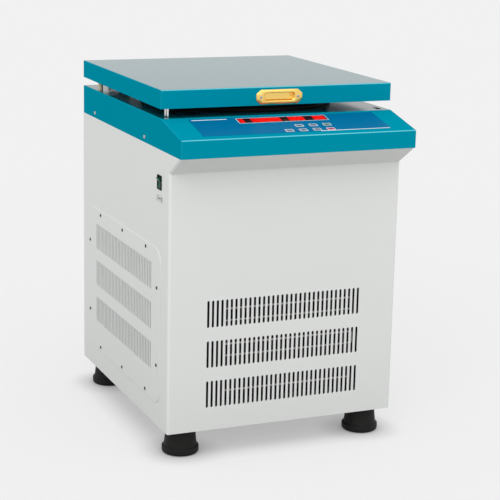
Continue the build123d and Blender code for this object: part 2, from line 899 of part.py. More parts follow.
def make_compressor():
    x = right - compressor_side_gap - compressor_radius
    y = chamber_y + compressor_behind
    base = compressor_stand
    pot = upright(0, 0, base, compressor_height, compressor_radius)
    plate = Box(2 * compressor_radius, 2 * compressor_radius, compressor_plate)
    pot += Pos(0, 0, base - compressor_plate / 2) * plate
    reach = compressor_radius - compressor_pad
    pad_height = base - compressor_plate
    for pad_x in (-reach, reach):
        for pad_y in (-reach, reach):
            pot += Pos(pad_x, pad_y, pad_height / 2) * Box(compressor_pad, compressor_pad, pad_height)
    pot = Pos(x, y, pan_top) * pot
    port_x = condenser_width / 2 + condenser_end / 2
    port_z = bottom + discharge_height
    port_front = y - compressor_radius - port_size
    half = port_size / 2
    port_back = y - compressor_radius / 2
    pot += block(port_x - half, port_x + half, port_front, port_back, port_z - half, port_z + half)
    save("compressor", pot)
    wall = RegularPolygon(pipe_radius, pipe_sides)
    outlet = Plane(origin=(port_x, condenser_back, port_z), x_dir=(1, 0, 0), z_dir=(0, 1, 0))
    discharge = extrude(outlet * wall, amount=port_front - condenser_back)
    inlet = Plane(origin=(x, chamber_y + suction_behind, pan_top + compressor_height))
    suction = extrude(inlet * wall, amount=foam_bottom - pan_top - compressor_height)
    save_group("refrigerant_pipes", [discharge, suction])


def make_power_module():
    half_x = module_width / 2
    half_y = module_depth / 2
    module_x = left + module_side_gap + half_x
    y = rear - module_setback - half_y
    top = pan_top + module_height
    module = block(module_x - half_x, module_x + half_x, y - half_y, y + half_y, pan_top, top)
    pitch = module_width / module_fins
    for number in range(module_fins):
        x = module_x - half_x + (number + 0.5) * pitch
        fin = module_fin_thickness / 2
        module += block(x - fin, x + fin, y - half_y, y + half_y, top, top + module_fin_height)
    save("power_module", module)


def gland_plane(y):
    return Plane(origin=(gland_x, y, gland_z), x_dir=(1, 0, 0), z_dir=(0, 1, 0))


def make_gland():
    tail = rear - sheet - gland_inside
    gland = extrude(gland_plane(rear) * RegularPolygon(gland_nut / 2, 6), amount=gland_reach)
    gland += extrude(gland_plane(tail) * RegularPolygon(gland_neck, 6), amount=rear - tail)
    gland -= bar_along_y(gland_x, tail - 1, rear + gland_reach + 1, gland_z, gland_bore)
    save("cable_gland", gland)


# Lid, hinges and lock

def make_lid():
    box = Pos(0, (lid_front + rear) / 2, (lid_bottom + lid_top) / 2)
    depth = rear - lid_front
    outer = box * Box(width, depth, lid_height)
    outer = fillet([edge for edge in outer.edges() if edge.center().Z > lid_bottom + 1], lid_bend)
    inner = box * Pos(0, 0, -sheet) * Box(width - 2 * sheet, depth - 2 * sheet, lid_height)
    shell = outer - inner
    pull_z = (lid_bottom + lid_top) / 2 - pull_drop
    half_x = pull_pocket_length / 2 + pull_wall
    half_z = pull_pocket_height / 2 + pull_wall
    shell -= block(
        -half_x - gap,
        half_x + gap,
        lid_front - 1,
        lid_front + 2 * sheet,
        pull_z - half_z - gap,
        pull_z + half_z + gap,
    )
    save("lid_shell", shell)
    liner_top = lid_bottom + sheet
    liner = block(left + sheet, right - sheet, lid_front + sheet, rear - sheet, lid_bottom, liner_top)
    save("lid_liner", liner)
    foam = block(
        left + lid_foam_inset,
        right - lid_foam_inset,
        lid_front + lid_foam_inset,
        rear - lid_foam_inset,
        lid_bottom + sheet,
        lid_top - sheet,
    )
    save("lid_insulation", foam)
    outline = chamfer_corners(pull_length, pull_height, pull_corner_x, pull_corner_z)
    pull_plane = Plane(origin=(0, lid_front, pull_z), x_dir=(1, 0, 0), z_dir=(0, -1, 0))
    pull = extrude(pull_plane * outline, amount=pull_thickness)
    pull += block(-half_x, half_x, lid_front, lid_front + pull_pocket_depth, pull_z - half_z, pull_z + half_z)
    pull -= block(
        -pull_pocket_length / 2,
        pull_pocket_length / 2,
        lid_front - pull_thickness - 1,
        lid_front + pull_pocket_depth - pull_wall,
        pull_z - pull_pocket_height / 2,
        pull_z + pull_pocket_height / 2,
    )
    save("lid_handle", pull)
    face = lid_front - pull_thickness
    head = RegularPolygon(pull_screw_head, 8)
    screws = []
    for x in (-pull_screw_spacing / 2, pull_screw_spacing / 2):
        place = Plane(origin=(x, face, pull_z), x_dir=(1, 0, 0), z_dir=(0, -1, 0))
        screws.append(extrude(place * head, amount=pull_screw_rise))
    save_group("handle_screws", screws)


def chamfer_corners(long, high, corner_x, corner_z):
    """A plaque outline with its four corners cut."""
    a = long / 2
    b = high / 2
    points = (
        (-a, -b + corner_z),
        (-a + corner_x, -b),
        (a - corner_x, -b),
        (a, -b + corner_z),
        (a, b - corner_z),
        (a - corner_x, b),
        (-a + corner_x, b),
        (-a, b - corner_z),
    )
    return make_face(Polyline(*points, close=True))


def make_striker_and_lock():
    y0 = striker_y - striker_spread / 2
    y1 = striker_y + striker_spread / 2
    low = bolt_z - bolt_radius - striker_play - striker_wire
    path = Polyline(
        (-striker_x, y0, lid_bottom),
        (-striker_x, y0, low),
        (-striker_x, y1, low),
        (-striker_x, y1, lid_bottom),
    )
    start = Plane(origin=(-striker_x, y0, lid_bottom), x_dir=(1, 0, 0), z_dir=(0, 0, -1))
    wire = start * Circle(striker_wire)
    save("lid_striker", sweep(wire, path=path, transition=Transition.RIGHT))
    lock_left = -striker_x + deck_slot_width / 2 + 1
    lock_right = lock_left + lock_length
    housing = block(
        lock_left,
        lock_right,
        striker_y - lock_width / 2,
        striker_y + lock_width / 2,
        deck - sheet - lock_height,
        deck - sheet,
    )
    housing -= bar_along_x(lock_left - 1, lock_right - 2, striker_y, bolt_z, bolt_radius + seat)
    save("lid_lock_housing", housing)
    tip = -striker_x + bolt_reach
    save("lock_bolt", bar_along_x(tip, tip + bolt_length, striker_y, bolt_z, bolt_radius))
    top = lid_bottom - gap
    places = (left + buffer_inset, right - buffer_inset)
    buffers = [upright(x, rear - buffer_setback, deck, top, buffer_radius) for x in places]
    save_group("lid_buffers", buffers)


def make_hinges():
    """Two lift-off hinges: the base leaf's knuckle holds the pin, and the lid leaf's knuckle turns on it."""
    half = leaf_width / 2
    relief = barrel_radius + 1
    base_leaves = []
    lid_leaves = []
    pins = []
    for x in (-hinge_x, hinge_x):
        base = block(x - half, x + half, rear, rear + leaf_thickness, hinge_z - leaf_height, hinge_z - relief)
        base += block(x - half, x - gap, rear, rear + leaf_thickness, hinge_z - relief, hinge_z)
        base += bar_along_x(x - half, x - gap, hinge_y, hinge_z, barrel_radius)
        lid = block(x - half, x + half, rear, rear + leaf_thickness, hinge_z + relief, hinge_z + leaf_height)
        lid += block(x + gap, x + half, rear, rear + leaf_thickness, hinge_z, hinge_z + relief)
        lid += bar_along_x(x + gap, x + half, hinge_y, hinge_z, barrel_radius)
        bore = bar_along_x(x - half - 1, x + half + 1, hinge_y, hinge_z, hinge_pin_radius + fit)
        base_leaves.append(base - bore)
        lid_leaves.append(lid - bore)
        pins.append(bar_along_x(x - half, x + half, hinge_y, hinge_z, hinge_pin_radius))
    save_group("hinge_base_leaves", base_leaves)
    save_group("hinge_lid_leaves", lid_leaves)
    save_group("hinge_pins", pins)


make_body()
make_rear_panel()
make_access_panels()
make_panel_screws()
make_frame()
make_floor()
make_cover()
make_control_panel()
make_power_switch()
make_chamber()
make_drive()
make_rotor()
make_buckets()
make_condenser()
make_compressor()
make_power_module()
make_gland()
make_lid()
make_striker_and_lock()
make_hinges()
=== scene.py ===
from math import atan2, cos, pi, radians, sin

import bmesh
import bpy
import numpy as np
from mathutils import Euler, Matrix, Vector


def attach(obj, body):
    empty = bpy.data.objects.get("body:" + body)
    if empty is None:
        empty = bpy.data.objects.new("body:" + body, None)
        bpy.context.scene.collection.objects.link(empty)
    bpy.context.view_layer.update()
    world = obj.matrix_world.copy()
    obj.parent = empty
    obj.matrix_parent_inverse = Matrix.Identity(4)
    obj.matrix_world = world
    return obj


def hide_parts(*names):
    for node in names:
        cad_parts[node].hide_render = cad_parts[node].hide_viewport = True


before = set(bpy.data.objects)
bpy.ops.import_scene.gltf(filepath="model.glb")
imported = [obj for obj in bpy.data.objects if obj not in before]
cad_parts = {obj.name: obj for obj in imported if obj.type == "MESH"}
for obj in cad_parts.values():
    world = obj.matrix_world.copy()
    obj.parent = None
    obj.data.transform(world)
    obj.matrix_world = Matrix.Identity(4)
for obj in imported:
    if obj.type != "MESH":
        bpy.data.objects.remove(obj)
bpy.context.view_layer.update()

# The floor-standing refrigerated centrifuge, in the solids' own frame:
# +X runs to the right, +Y to the back and +Z up, with the floor at zero.
# Shapes are worked out in millimetres and turned into metres when a piece is made. The floor, the lamps
# and the camera are in metres.

# Cabinet
SIDE = 300.0
FRONT = -308.5
REAR = 366.5
CONSOLE_FRONT = -382.5
BOTTOM = 66.0
CHIN = 700.0
BODY_TOP = 747.0
SHEET = 1.5
PANEL_HALF = 278.0
FOOT_X = 245.0
FOOT_FRONT, FOOT_REAR = -253.5, 311.5

# Sloping panel. Heights on it are counted out of the slope.
SLOPE_MIDDLE = (0.0, -316.5, 805.0)
SLOPE_ANGLE = radians(12.804)
FILM_FACE = 0.6
KEY_WIDTH, KEY_HEIGHT, KEY_FACE = 21.0, 15.0, 0.9
WINDOW_LEFT, WINDOW_RIGHT = -121.0, 106.0
WINDOW_LOW, WINDOW_HIGH = 20.5, 49.2
WINDOW_WIDTH = WINDOW_RIGHT - WINDOW_LEFT
WINDOW_HEIGHT = WINDOW_HIGH - WINDOW_LOW
WINDOW_MIDDLE = ((WINDOW_LEFT + WINDOW_RIGHT) / 2, (WINDOW_LOW + WINDOW_HIGH) / 2)

# Vents. Each slot stands in a cell of pitch by pitch, whose sides are drawn in a number of steps, and a
# field's middle is given on its own face.
SLOT_WIDTH = 5.9
SLOT_CORNER = 2.8
SLOT_PITCH = 12.0
ROW_PITCH = 100.0
ROWS = 3
CELL_STEPS = 5
FRONT_COLUMNS = 34
FRONT_SLOT_LENGTH = 66.5
FRONT_FIELD_MIDDLE = (0.0, 256.7)
SIDE_COLUMNS = 37
SIDE_SLOT_LENGTH = 69.0
SIDE_FIELD_MIDDLE = (-27.5, 332.0)

# Slotted side plates
PLATE_WIDTH, PLATE_HEIGHT, PLATE_CORNER = 571.0, 386.0, 38.0
PLATE_MIDDLE = (-29.0, 315.0)

# Power switch on the left side
SWITCH_Y, SWITCH_Z = -243.0, 669.5

# Lid and chamber
LID_FRONT = -244.5
LID_BOTTOM = 842.0
PULL_HEIGHT = 861.7
PULL_FACE = 2.2
CHAMBER_Y = 31.5

# Making a mesh, in metres: points closer than the weld distance become one, and faces that meet at less
# than this many degrees are shaded as one smooth skin.
MILLIMETRE = 0.001
WELD_DISTANCE = 0.000002
SMOOTH_BEND = 35.0


# Helpers for colours, nodes and materials

def paint(red, green, blue):
    """A colour written as 0 to 255 on screen, turned into linear light."""
    shade = np.array([red, green, blue]) / 255.0
    low = shade / 12.92
    high = ((shade + 0.055) / 1.055) ** 2.4
    linear = np.where(shade <= 0.04045, low, high)
    return (float(linear[0]), float(linear[1]), float(linear[2]), 1.0)


def add_node(tree, kind, **values):
    """One shader node, with its settings and the values of its unlinked sockets."""
    node = tree.nodes.new(kind)
    for name, value in values.items():
        if hasattr(node, name):
            setattr(node, name, value)
        else:
            node.inputs[name.replace("_", " ")].default_value = value
    return node


def link(tree, out_socket, in_socket):
    """A link from one node's output to another's input."""
    tree.links.new(out_socket, in_socket)


def calculate(tree, operation, first, second):
    """One calculation with two values, each a socket or a number. It gives the socket of its result."""
    node = add_node(tree, "ShaderNodeMath", operation=operation)
    for place, value in enumerate((first, second)):
        if isinstance(value, (int, float)):
            node.inputs[place].default_value = value
        else:
            link(tree, value, node.inputs[place])
    return node.outputs[0]


def blend_colours(tree, share, first, second):
    """A mix of two colours, each a socket or a colour. It gives the socket of its result."""
    mix = add_node(tree, "ShaderNodeMix", data_type="RGBA")
    link(tree, share, mix.inputs["Factor"])
    colour_inputs = [socket for socket in mix.inputs if socket.type == "RGBA"]
    for socket, value in zip(colour_inputs, (first, second)):
        if isinstance(value, tuple):
            socket.default_value = value
        else:
            link(tree, value, socket)
    return [socket for socket in mix.outputs if socket.type == "RGBA"][0]


def new_group(name, inputs, outputs):
    """A shader node group with its inputs, given as (name, kind, default), and outputs, as (name, kind).
    It gives the group's tree and its entry and exit nodes."""
    tree = bpy.data.node_groups.new(name, "ShaderNodeTree")
    for label, kind, default in inputs:
        socket = tree.interface.new_socket(name=label, in_out="INPUT", socket_type=kind)
        socket.default_value = default
    for label, kind in outputs:
        tree.interface.new_socket(name=label, in_out="OUTPUT", socket_type=kind)
    return tree, tree.nodes.new("NodeGroupInput"), tree.nodes.new("NodeGroupOutput")


FLOAT = "NodeSocketFloat"
COLOUR = "NodeSocketColor"
VECTOR = "NodeSocketVector"

# How far the roughness of brushed metal varies from line to line
LINE_SPREAD = 0.14


def make_tone_drift():
    """A colour that wanders a little over the surface: colour times (1 + amount (noise - 0.5))."""
    tree, entry, leave = new_group(
        "Tone drift",
        [("Colour", COLOUR, (0.8, 0.8, 0.8, 1.0)), ("Amount", FLOAT, 0.05), ("Scale", FLOAT, 6.0)],
        [("Colour", COLOUR)],
    )
    coords = tree.nodes.new("ShaderNodeTexCoord")
    noise = add_node(tree, "ShaderNodeTexNoise", Detail=4.0, Roughness=0.55)
    link(tree, coords.outputs["Object"], noise.inputs["Vector"])
    link(tree, entry.outputs["Scale"], noise.inputs["Scale"])
    centred = calculate(tree, "SUBTRACT", noise.outputs["Fac"], 0.5)
    scaled = calculate(tree, "MULTIPLY", centred, entry.outputs["Amount"])
    lifted = calculate(tree, "ADD", scaled, 1.0)
    tinted = add_node(tree, "ShaderNodeVectorMath", operation="SCALE")
    link(tree, entry.outputs["Colour"], tinted.inputs[0])
    link(tree, lifted, tinted.inputs["Scale"])
    link(tree, tinted.outputs[0], leave.inputs["Colour"])
    return tree


def make_fine_grain():
    """Fine noise as the height of a sprayed or moulded skin, and a roughness that wanders with wide
    noise: roughness + spread noise."""
    tree, entry, leave = new_group(
        "Fine grain",
        [("Scale", FLOAT, 900.0), ("Roughness", FLOAT, 0.3), ("Spread", FLOAT, 0.05)],
        [("Height", FLOAT), ("Roughness", FLOAT)],
    )
    coords = tree.nodes.new("ShaderNodeTexCoord")
    fine = add_node(tree, "ShaderNodeTexNoise", Detail=2.0, Roughness=0.5)
    link(tree, coords.outputs["Object"], fine.inputs["Vector"])
    link(tree, entry.outputs["Scale"], fine.inputs["Scale"])
    wide = add_node(tree, "ShaderNodeTexNoise", Scale=14.0, Detail=3.0, Roughness=0.6)
    link(tree, coords.outputs["Object"], wide.inputs["Vector"])
    spread = calculate(tree, "MULTIPLY", wide.outputs["Fac"], entry.outputs["Spread"])
    total = calculate(tree, "ADD", spread, entry.outputs["Roughness"])
    link(tree, fine.outputs["Fac"], leave.inputs["Height"])
    link(tree, total, leave.inputs["Roughness"])
    return tree


def make_brushed_lines():
    """Lines of brushing, drawing or turning: noise on coordinates scaled axis by axis, which runs on
    along an axis with a low scale. It gives the lines' height, and roughness + line spread noise."""
    tree, entry, leave = new_group(
        "Brushed lines",
        [("Along", VECTOR, (4.0, 400.0, 400.0)), ("Roughness", FLOAT, 0.3)],
        [("Height", FLOAT), ("Roughness", FLOAT)],
    )
    coords = tree.nodes.new("ShaderNodeTexCoord")
    place = add_node(tree, "ShaderNodeVectorMath", operation="MULTIPLY")
    link(tree, coords.outputs["Object"], place.inputs[0])
    link(tree, entry.outputs["Along"], place.inputs[1])
    noise = add_node(tree, "ShaderNodeTexNoise", Scale=1.0, Detail=3.0, Roughness=0.6)
    link(tree, place.outputs[0], noise.inputs["Vector"])
    spread = calculate(tree, "MULTIPLY", noise.outputs["Fac"], LINE_SPREAD)
    total = calculate(tree, "ADD", spread, entry.outputs["Roughness"])
    link(tree, noise.outputs["Fac"], leave.inputs["Height"])
    link(tree, total, leave.inputs["Roughness"])
    return tree


def make_bend_highlight_mask():
    """A mask for a painted highlight on the narrow bends between flat faces. The best match of the
    surface's own direction with
    X, Y, Z or one leaning face is 1 on a flat face. The mask rises as that match falls from the flat to
    the bent value, and the painted highlight fades on bends that turn to the sides."""
    flat_match, bent_match = 0.975, 0.93
    tree, entry, leave = new_group(
        "Bend highlight mask",
        [("Leaning Face", VECTOR, (0.0, 0.0, 1.0)), ("Amount", FLOAT, 0.5), ("Side Fade", FLOAT, 1.0)],
        [("Mask", FLOAT)],
    )
    coords = tree.nodes.new("ShaderNodeTexCoord")
    size = add_node(tree, "ShaderNodeVectorMath", operation="ABSOLUTE")
    link(tree, coords.outputs["Normal"], size.inputs[0])
    parts = tree.nodes.new("ShaderNodeSeparateXYZ")
    link(tree, size.outputs[0], parts.inputs[0])
    match = add_node(tree, "ShaderNodeVectorMath", operation="DOT_PRODUCT")
    link(tree, coords.outputs["Normal"], match.inputs[0])
    link(tree, entry.outputs["Leaning Face"], match.inputs[1])
    best = calculate(tree, "MAXIMUM", parts.outputs["X"], parts.outputs["Y"])
    best = calculate(tree, "MAXIMUM", best, parts.outputs["Z"])
    best = calculate(tree, "MAXIMUM", best, match.outputs["Value"])
    turn = add_node(tree, "ShaderNodeMapRange", clamp=True, From_Min=flat_match, From_Max=bent_match)
    link(tree, best, turn.inputs["Value"])
    mask = calculate(tree, "MULTIPLY", turn.outputs["Result"], entry.outputs["Amount"])
    loss = calculate(tree, "MULTIPLY", parts.outputs["X"], entry.outputs["Side Fade"])
    kept = calculate(tree, "MAXIMUM", calculate(tree, "SUBTRACT", 1.0, loss), 0.0)
    link(tree, calculate(tree, "MULTIPLY", mask, kept), leave.inputs["Mask"])
    return tree


TONE_DRIFT = make_tone_drift()
FINE_GRAIN = make_fine_grain()
BRUSHED_LINES = make_brushed_lines()
BEND_HIGHLIGHT_MASK = make_bend_highlight_mask()


def use_group(tree, group, **values):
    """A shader group placed in a material, with its own values."""
    node = tree.nodes.new("ShaderNodeGroup")
    node.node_tree = group
    for name, value in values.items():
        node.inputs[name.replace("_", " ")].default_value = value
    return node


def new_material(name):
    """A new material, with its tree and its Principled shader."""
    material = bpy.data.materials.new(name)
    material.use_nodes = True
    shader = material.node_tree.nodes["Principled BSDF"]
    return material, material.node_tree, shader


def set_sockets(shader, sockets):
    """Fixed values for the shader's sockets, each named with underscores for its spaces."""
    for socket, value in sockets.items():
        shader.inputs[socket.replace("_", " ")].default_value = value


def sprayed(name, colour, roughness, grain, depth=0.00003, drift=0.05, spread=0.08, **sockets):
    """A painted, moulded or cast skin: drifting tone, fine grain in its bump and a roughness that varies.
    The depth of the grain is in metres."""
    material, tree, shader = new_material(name)
    tone = use_group(tree, TONE_DRIFT, Colour=colour, Amount=drift, Scale=5.0)
    link(tree, tone.outputs["Colour"], shader.inputs["Base Color"])
    skin = use_group(tree, FINE_GRAIN, Scale=grain, Roughness=roughness - spread / 2, Spread=spread)
    link(tree, skin.outputs["Roughness"], shader.inputs["Roughness"])
    bump = add_node(tree, "ShaderNodeBump", Strength=1.0, Distance=depth)
    link(tree, skin.outputs["Height"], bump.inputs["Height"])
    link(tree, bump.outputs["Normal"], shader.inputs["Normal"])
    set_sockets(shader, sockets)
    return material


def enamel_with_bend_highlight(name, colour, highlight_colour, leaning_face, highlight_amount, side_fade, **settings):
    """Sprayed sheet metal with a painted highlight in a lighter colour on its bends."""
    material = sprayed(name, colour, **settings)
    tree = material.node_tree
    shader = tree.nodes["Principled BSDF"]
    tone = shader.inputs["Base Color"].links[0].from_socket
    turn = use_group(tree, BEND_HIGHLIGHT_MASK, Leaning_Face=leaning_face, Amount=highlight_amount, Side_Fade=side_fade)
    mixed = blend_colours(tree, turn.outputs["Mask"], tone, highlight_colour)
    link(tree, mixed, shader.inputs["Base Color"])
    return material


def add_grazing_coat(material, start, full, weight):
    """A clear coat that shows only where the surface is seen nearly edge on."""
    tree = material.node_tree
    shader = tree.nodes["Principled BSDF"]
    facing = add_node(tree, "ShaderNodeLayerWeight", Blend=0.5)
    rise = add_node(
        tree, "ShaderNodeMapRange", clamp=True, interpolation_type="SMOOTHSTEP",
        From_Min=start, From_Max=full, To_Max=weight,
    )
    link(tree, facing.outputs["Facing"], rise.inputs["Value"])
    link(tree, rise.outputs["Result"], shader.inputs["Coat Weight"])


def brushed(name, colour, roughness, along=(4.0, 500.0, 500.0), drift=0.08, **sockets):
    """Bare metal with lines of brushing, drawing or turning, 0.02 mm deep."""
    material, tree, shader = new_material(name)
    tone = use_group(tree, TONE_DRIFT, Colour=colour, Amount=drift, Scale=9.0)
    link(tree, tone.outputs["Colour"], shader.inputs["Base Color"])
    lines = use_group(tree, BRUSHED_LINES, Along=along, Roughness=roughness - LINE_SPREAD / 2)
    link(tree, lines.outputs["Roughness"], shader.inputs["Roughness"])
    bump = add_node(tree, "ShaderNodeBump", Strength=1.0, Distance=0.00002)
    link(tree, lines.outputs["Height"], bump.inputs["Height"])
    link(tree, bump.outputs["Normal"], shader.inputs["Normal"])
    shader.inputs["Metallic"].default_value = 1.0
    set_sockets(shader, sockets)
    return material


# Finishes

TEAL = paint(0, 142, 166)
SLOPE_OUT = (0.0, -sin(SLOPE_ANGLE), cos(SLOPE_ANGLE))
CHIN_ANGLE = atan2(FRONT - CONSOLE_FRONT, BODY_TOP - CHIN)
CHIN_OUT = (0.0, -cos(CHIN_ANGLE), -sin(CHIN_ANGLE))

# The second colour of each enamel is a painted highlight on its bends, not a colour of the paint.
white_enamel = enamel_with_bend_highlight(
    "white enamel", paint(224, 226, 224), paint(240, 242, 242),
    leaning_face=CHIN_OUT, highlight_amount=0.4, side_fade=0.7,
    roughness=0.42, grain=1100.0, depth=0.00004, drift=0.015, Specular_IOR_Level=0.3,
)
teal_enamel = enamel_with_bend_highlight(
    "teal enamel", TEAL, paint(126, 222, 232),
    leaning_face=SLOPE_OUT, highlight_amount=0.75, side_fade=2.2,
    roughness=0.3, grain=700.0, depth=0.00002, drift=0.03,
    Specular_IOR_Level=0.0, Coat_Roughness=0.14, Coat_IOR=2.0, Coat_Tint=(0.5, 0.42, 0.36, 1.0),
)
add_grazing_coat(teal_enamel, start=0.75, full=0.86, weight=0.95)
liner_enamel = sprayed(
    "lid liner enamel", TEAL, roughness=0.35, grain=700.0, drift=0.04, Specular_IOR_Level=0.3,
)
frame_steel = sprayed("frame steel", paint(120, 122, 124), roughness=0.5, grain=500.0, drift=0.12)
black_rubber = sprayed(
    "black rubber", paint(24, 24, 23), roughness=0.6, grain=1400.0, depth=0.00008, drift=0.2,
    Specular_IOR_Level=0.18,
)
gasket_rubber = sprayed(
    "gasket rubber", paint(13, 13, 14), roughness=0.55, grain=1200.0, drift=0.15, Specular_IOR_Level=0.12,
)
zinc_steel = brushed("zinc steel", paint(188, 189, 190), roughness=0.34)
dark_screw = brushed("dark screw steel", paint(70, 70, 70), roughness=0.24)
bright_screw = brushed("bright screw steel", paint(176, 178, 178), roughness=0.16)
blue_film = sprayed(
    "blue film", paint(0, 108, 154), roughness=0.4, grain=2500.0, drift=0.03, Specular_IOR_Level=0.02,
)
red_window = sprayed(
    "red window", paint(44, 3, 8), roughness=0.25, grain=2000.0, drift=0.2, Specular_IOR_Level=0.1,
)
display_black = sprayed("display black", paint(26, 8, 8), roughness=0.4, grain=2000.0, drift=0.1)
board_green = sprayed("board green", paint(28, 92, 54), roughness=0.4, grain=1500.0, drift=0.2)
black_plastic = sprayed(
    "black plastic", paint(16, 17, 17), roughness=0.45, grain=1800.0, drift=0.15, IOR=1.15,
)
stainless = brushed("stainless steel", paint(205, 206, 206), roughness=0.24, along=(30.0, 30.0, 900.0))
copper = brushed("copper tube", paint(196, 118, 80), roughness=0.25)
insulation_foam = sprayed(
    "insulation foam", paint(222, 209, 164), roughness=0.85, grain=260.0, depth=0.0008, drift=0.18,
    spread=0.1,
)
motor_casting = sprayed(
    "motor casting", paint(128, 131, 134), roughness=0.55, grain=420.0, depth=0.0002, drift=0.12,
)
black_enamel = sprayed("black enamel", paint(28, 28, 28), roughness=0.3, grain=600.0, drift=0.15)
aluminium_fins = brushed("aluminium fins", paint(54, 56, 58), roughness=0.45, along=(10.0, 10.0, 900.0))
coil_tube = brushed("coil tube", paint(226, 226, 226), roughness=0.3, along=(10.0, 400.0, 400.0))
chrome = brushed("chrome wire", paint(222, 222, 222), roughness=0.14, along=(40.0, 40.0, 40.0), drift=0.04)
cream_rubber = sprayed("cream rubber", paint(214, 200, 168), roughness=0.55, grain=1200.0, drift=0.1)
brass = brushed("brass", paint(252, 214, 122), roughness=0.26, along=(6.0, 500.0, 700.0))
shaft_steel = brushed("shaft steel", paint(176, 177, 178), roughness=0.22, along=(20.0, 20.0, 900.0))
rotor_aluminium = brushed(
    "rotor aluminium", paint(196, 198, 200), roughness=0.36, along=(60.0, 60.0, 600.0), Metallic=0.75,
)
bucket_aluminium = brushed(
    "bucket aluminium", paint(206, 208, 211), roughness=0.34, along=(60.0, 60.0, 500.0), Metallic=0.75,
)
green_rocker = sprayed(
    "green rocker", paint(2, 78, 54), roughness=0.3, grain=1500.0, drift=0.3, IOR=1.15,
)
grey_key = sprayed("grey key", paint(104, 122, 150), roughness=0.4, grain=2500.0, drift=0.1)
red_key = sprayed("red key", paint(184, 62, 96), roughness=0.4, grain=2500.0, drift=0.1)
green_key = sprayed("green key", paint(80, 122, 118), roughness=0.4, grain=2500.0, drift=0.1)
# Used for printed rims and lines, and for a painted highlight on the film.
white_ink_and_highlight = sprayed("white ink and highlight", paint(240, 246, 248), roughness=0.5, grain=2500.0, drift=0.04)
grey_ink = sprayed("grey ink", paint(150, 152, 154), roughness=0.5, grain=2500.0, drift=0.05)
dark_ink = sprayed("dark ink", paint(58, 58, 60), roughness=0.5, grain=2500.0, drift=0.1)
filter_fleece = sprayed(
    "filter fleece", paint(118, 120, 120), roughness=0.9, grain=700.0, depth=0.0003, drift=0.1, spread=0.05,
)
lit_red = sprayed(
    "lit red", paint(214, 4, 4), roughness=0.45, grain=2000.0, drift=0.15, Specular_IOR_Level=0.05,
    Emission_Color=paint(255, 6, 4), Emission_Strength=0.2,
)
lit_segment = sprayed(
    "lit segment", paint(255, 36, 22), roughness=0.45, grain=2000.0, drift=0.1, Specular_IOR_Level=0.05,
    Emission_Color=paint(255, 30, 18), Emission_Strength=0.3,
)

FINISHES = {
    frame_steel: ["base_frame", "motor_plate"],
    white_enamel: ["floor_pan", "left_side_panel", "right_side_panel", "rear_panel"],
    teal_enamel: ["console_cover", "lid_shell"],
    liner_enamel: ["lid_liner"],
    black_rubber: ["vibration_mounts"],
    gasket_rubber: ["neck_seal"],
    zinc_steel: ["foot_studs", "fan_shroud", "lid_lock_housing"],
    blue_film: ["control_overlay"],
    display_black: ["digit_displays"],
    board_green: ["control_board"],
    black_plastic: ["condenser_fan"],
    copper: ["evaporator_jacket", "refrigerant_pipes"],
    insulation_foam: ["foam_jacket", "lid_insulation"],
    motor_casting: ["drive_motor", "power_module"],
    black_enamel: ["compressor", "fan_motor"],
    chrome: ["lock_bolt", "hinge_base_leaves", "hinge_lid_leaves", "hinge_pins"],
    cream_rubber: ["lid_buffers"],
    shaft_steel: ["drive_shaft", "rotor_nut"],
    rotor_aluminium: ["swing_rotor"],
    bucket_aluminium: ["bucket_1", "bucket_2", "bucket_3", "bucket_4"],
}

# The nodes that keep their own shapes get their finishes here.
for material, names in FINISHES.items():
    for name in names:
        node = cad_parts[name]
        node.data.materials.clear()
        node.data.materials.append(material)


# Helpers for shapes. A shape is its points, as rows of (x, y, z), and a list of arrays of faces.

def place_frame(origin, across, along):
    """An origin with two directions on a face and the direction out of it, across x along."""
    across = np.array(across, float)
    along = np.array(along, float)
    return np.array(origin, float), across, along, np.cross(across, along)


def on_frame(flat, height, place):
    """Flat (a, b) points carried into space: origin + a ACROSS + b ALONG + height OUT. The height is one
    number or an array that matches the points."""
    origin, across, along, out = place
    return origin + flat[..., :1] * across + flat[..., 1:] * along + np.asarray(height)[..., None] * out


def grid(points, wrap_rows=False, wrap_columns=False, cap_first=False, cap_last=False):
    """A skin over a grid of points (rows, columns, 3). Its last row or column is joined to the first, and
    its first and last rows are closed, where asked."""
    rows, columns = points.shape[:2]
    row_steps = rows if wrap_rows else rows - 1
    column_steps = columns if wrap_columns else columns - 1
    row, column = np.meshgrid(np.arange(row_steps), np.arange(column_steps), indexing="ij")
    next_row = (row + 1) % rows
    next_column = (column + 1) % columns
    corners = (
        row * columns + column,
        row * columns + next_column,
        next_row * columns + next_column,
        next_row * columns + column,
    )
    faces = [np.stack(corners, axis=-1).reshape(-1, 4)]
    if cap_first:
        faces.append(np.arange(columns)[None, :])
    if cap_last:
        faces.append(np.arange((rows - 1) * columns, rows * columns)[None, :])
    return points.reshape(-1, 3), faces


def joined(shapes):
    """Several shapes as one."""
    faces = []
    start = 0
    for points, blocks in shapes:
        faces += [block + start for block in blocks]
        start += len(points)
    return np.concatenate([points for points, blocks in shapes]), faces


def copies(shape, shifts):
    """The same shape moved by each of the shifts."""
    points, blocks = shape
    shifts = np.array(shifts, float).reshape(-1, 1, 3)
    starts = np.arange(len(shifts)) * len(points)
    faces = [(block[None] + starts[:, None, None]).reshape(-1, block.shape[1]) for block in blocks]
    return (points[None] + shifts).reshape(-1, 3), faces


def mirrored(shape):
    """The shape seen in a mirror on the plane X = 0."""
    points, blocks = shape
    return points * np.array([-1.0, 1.0, 1.0]), blocks


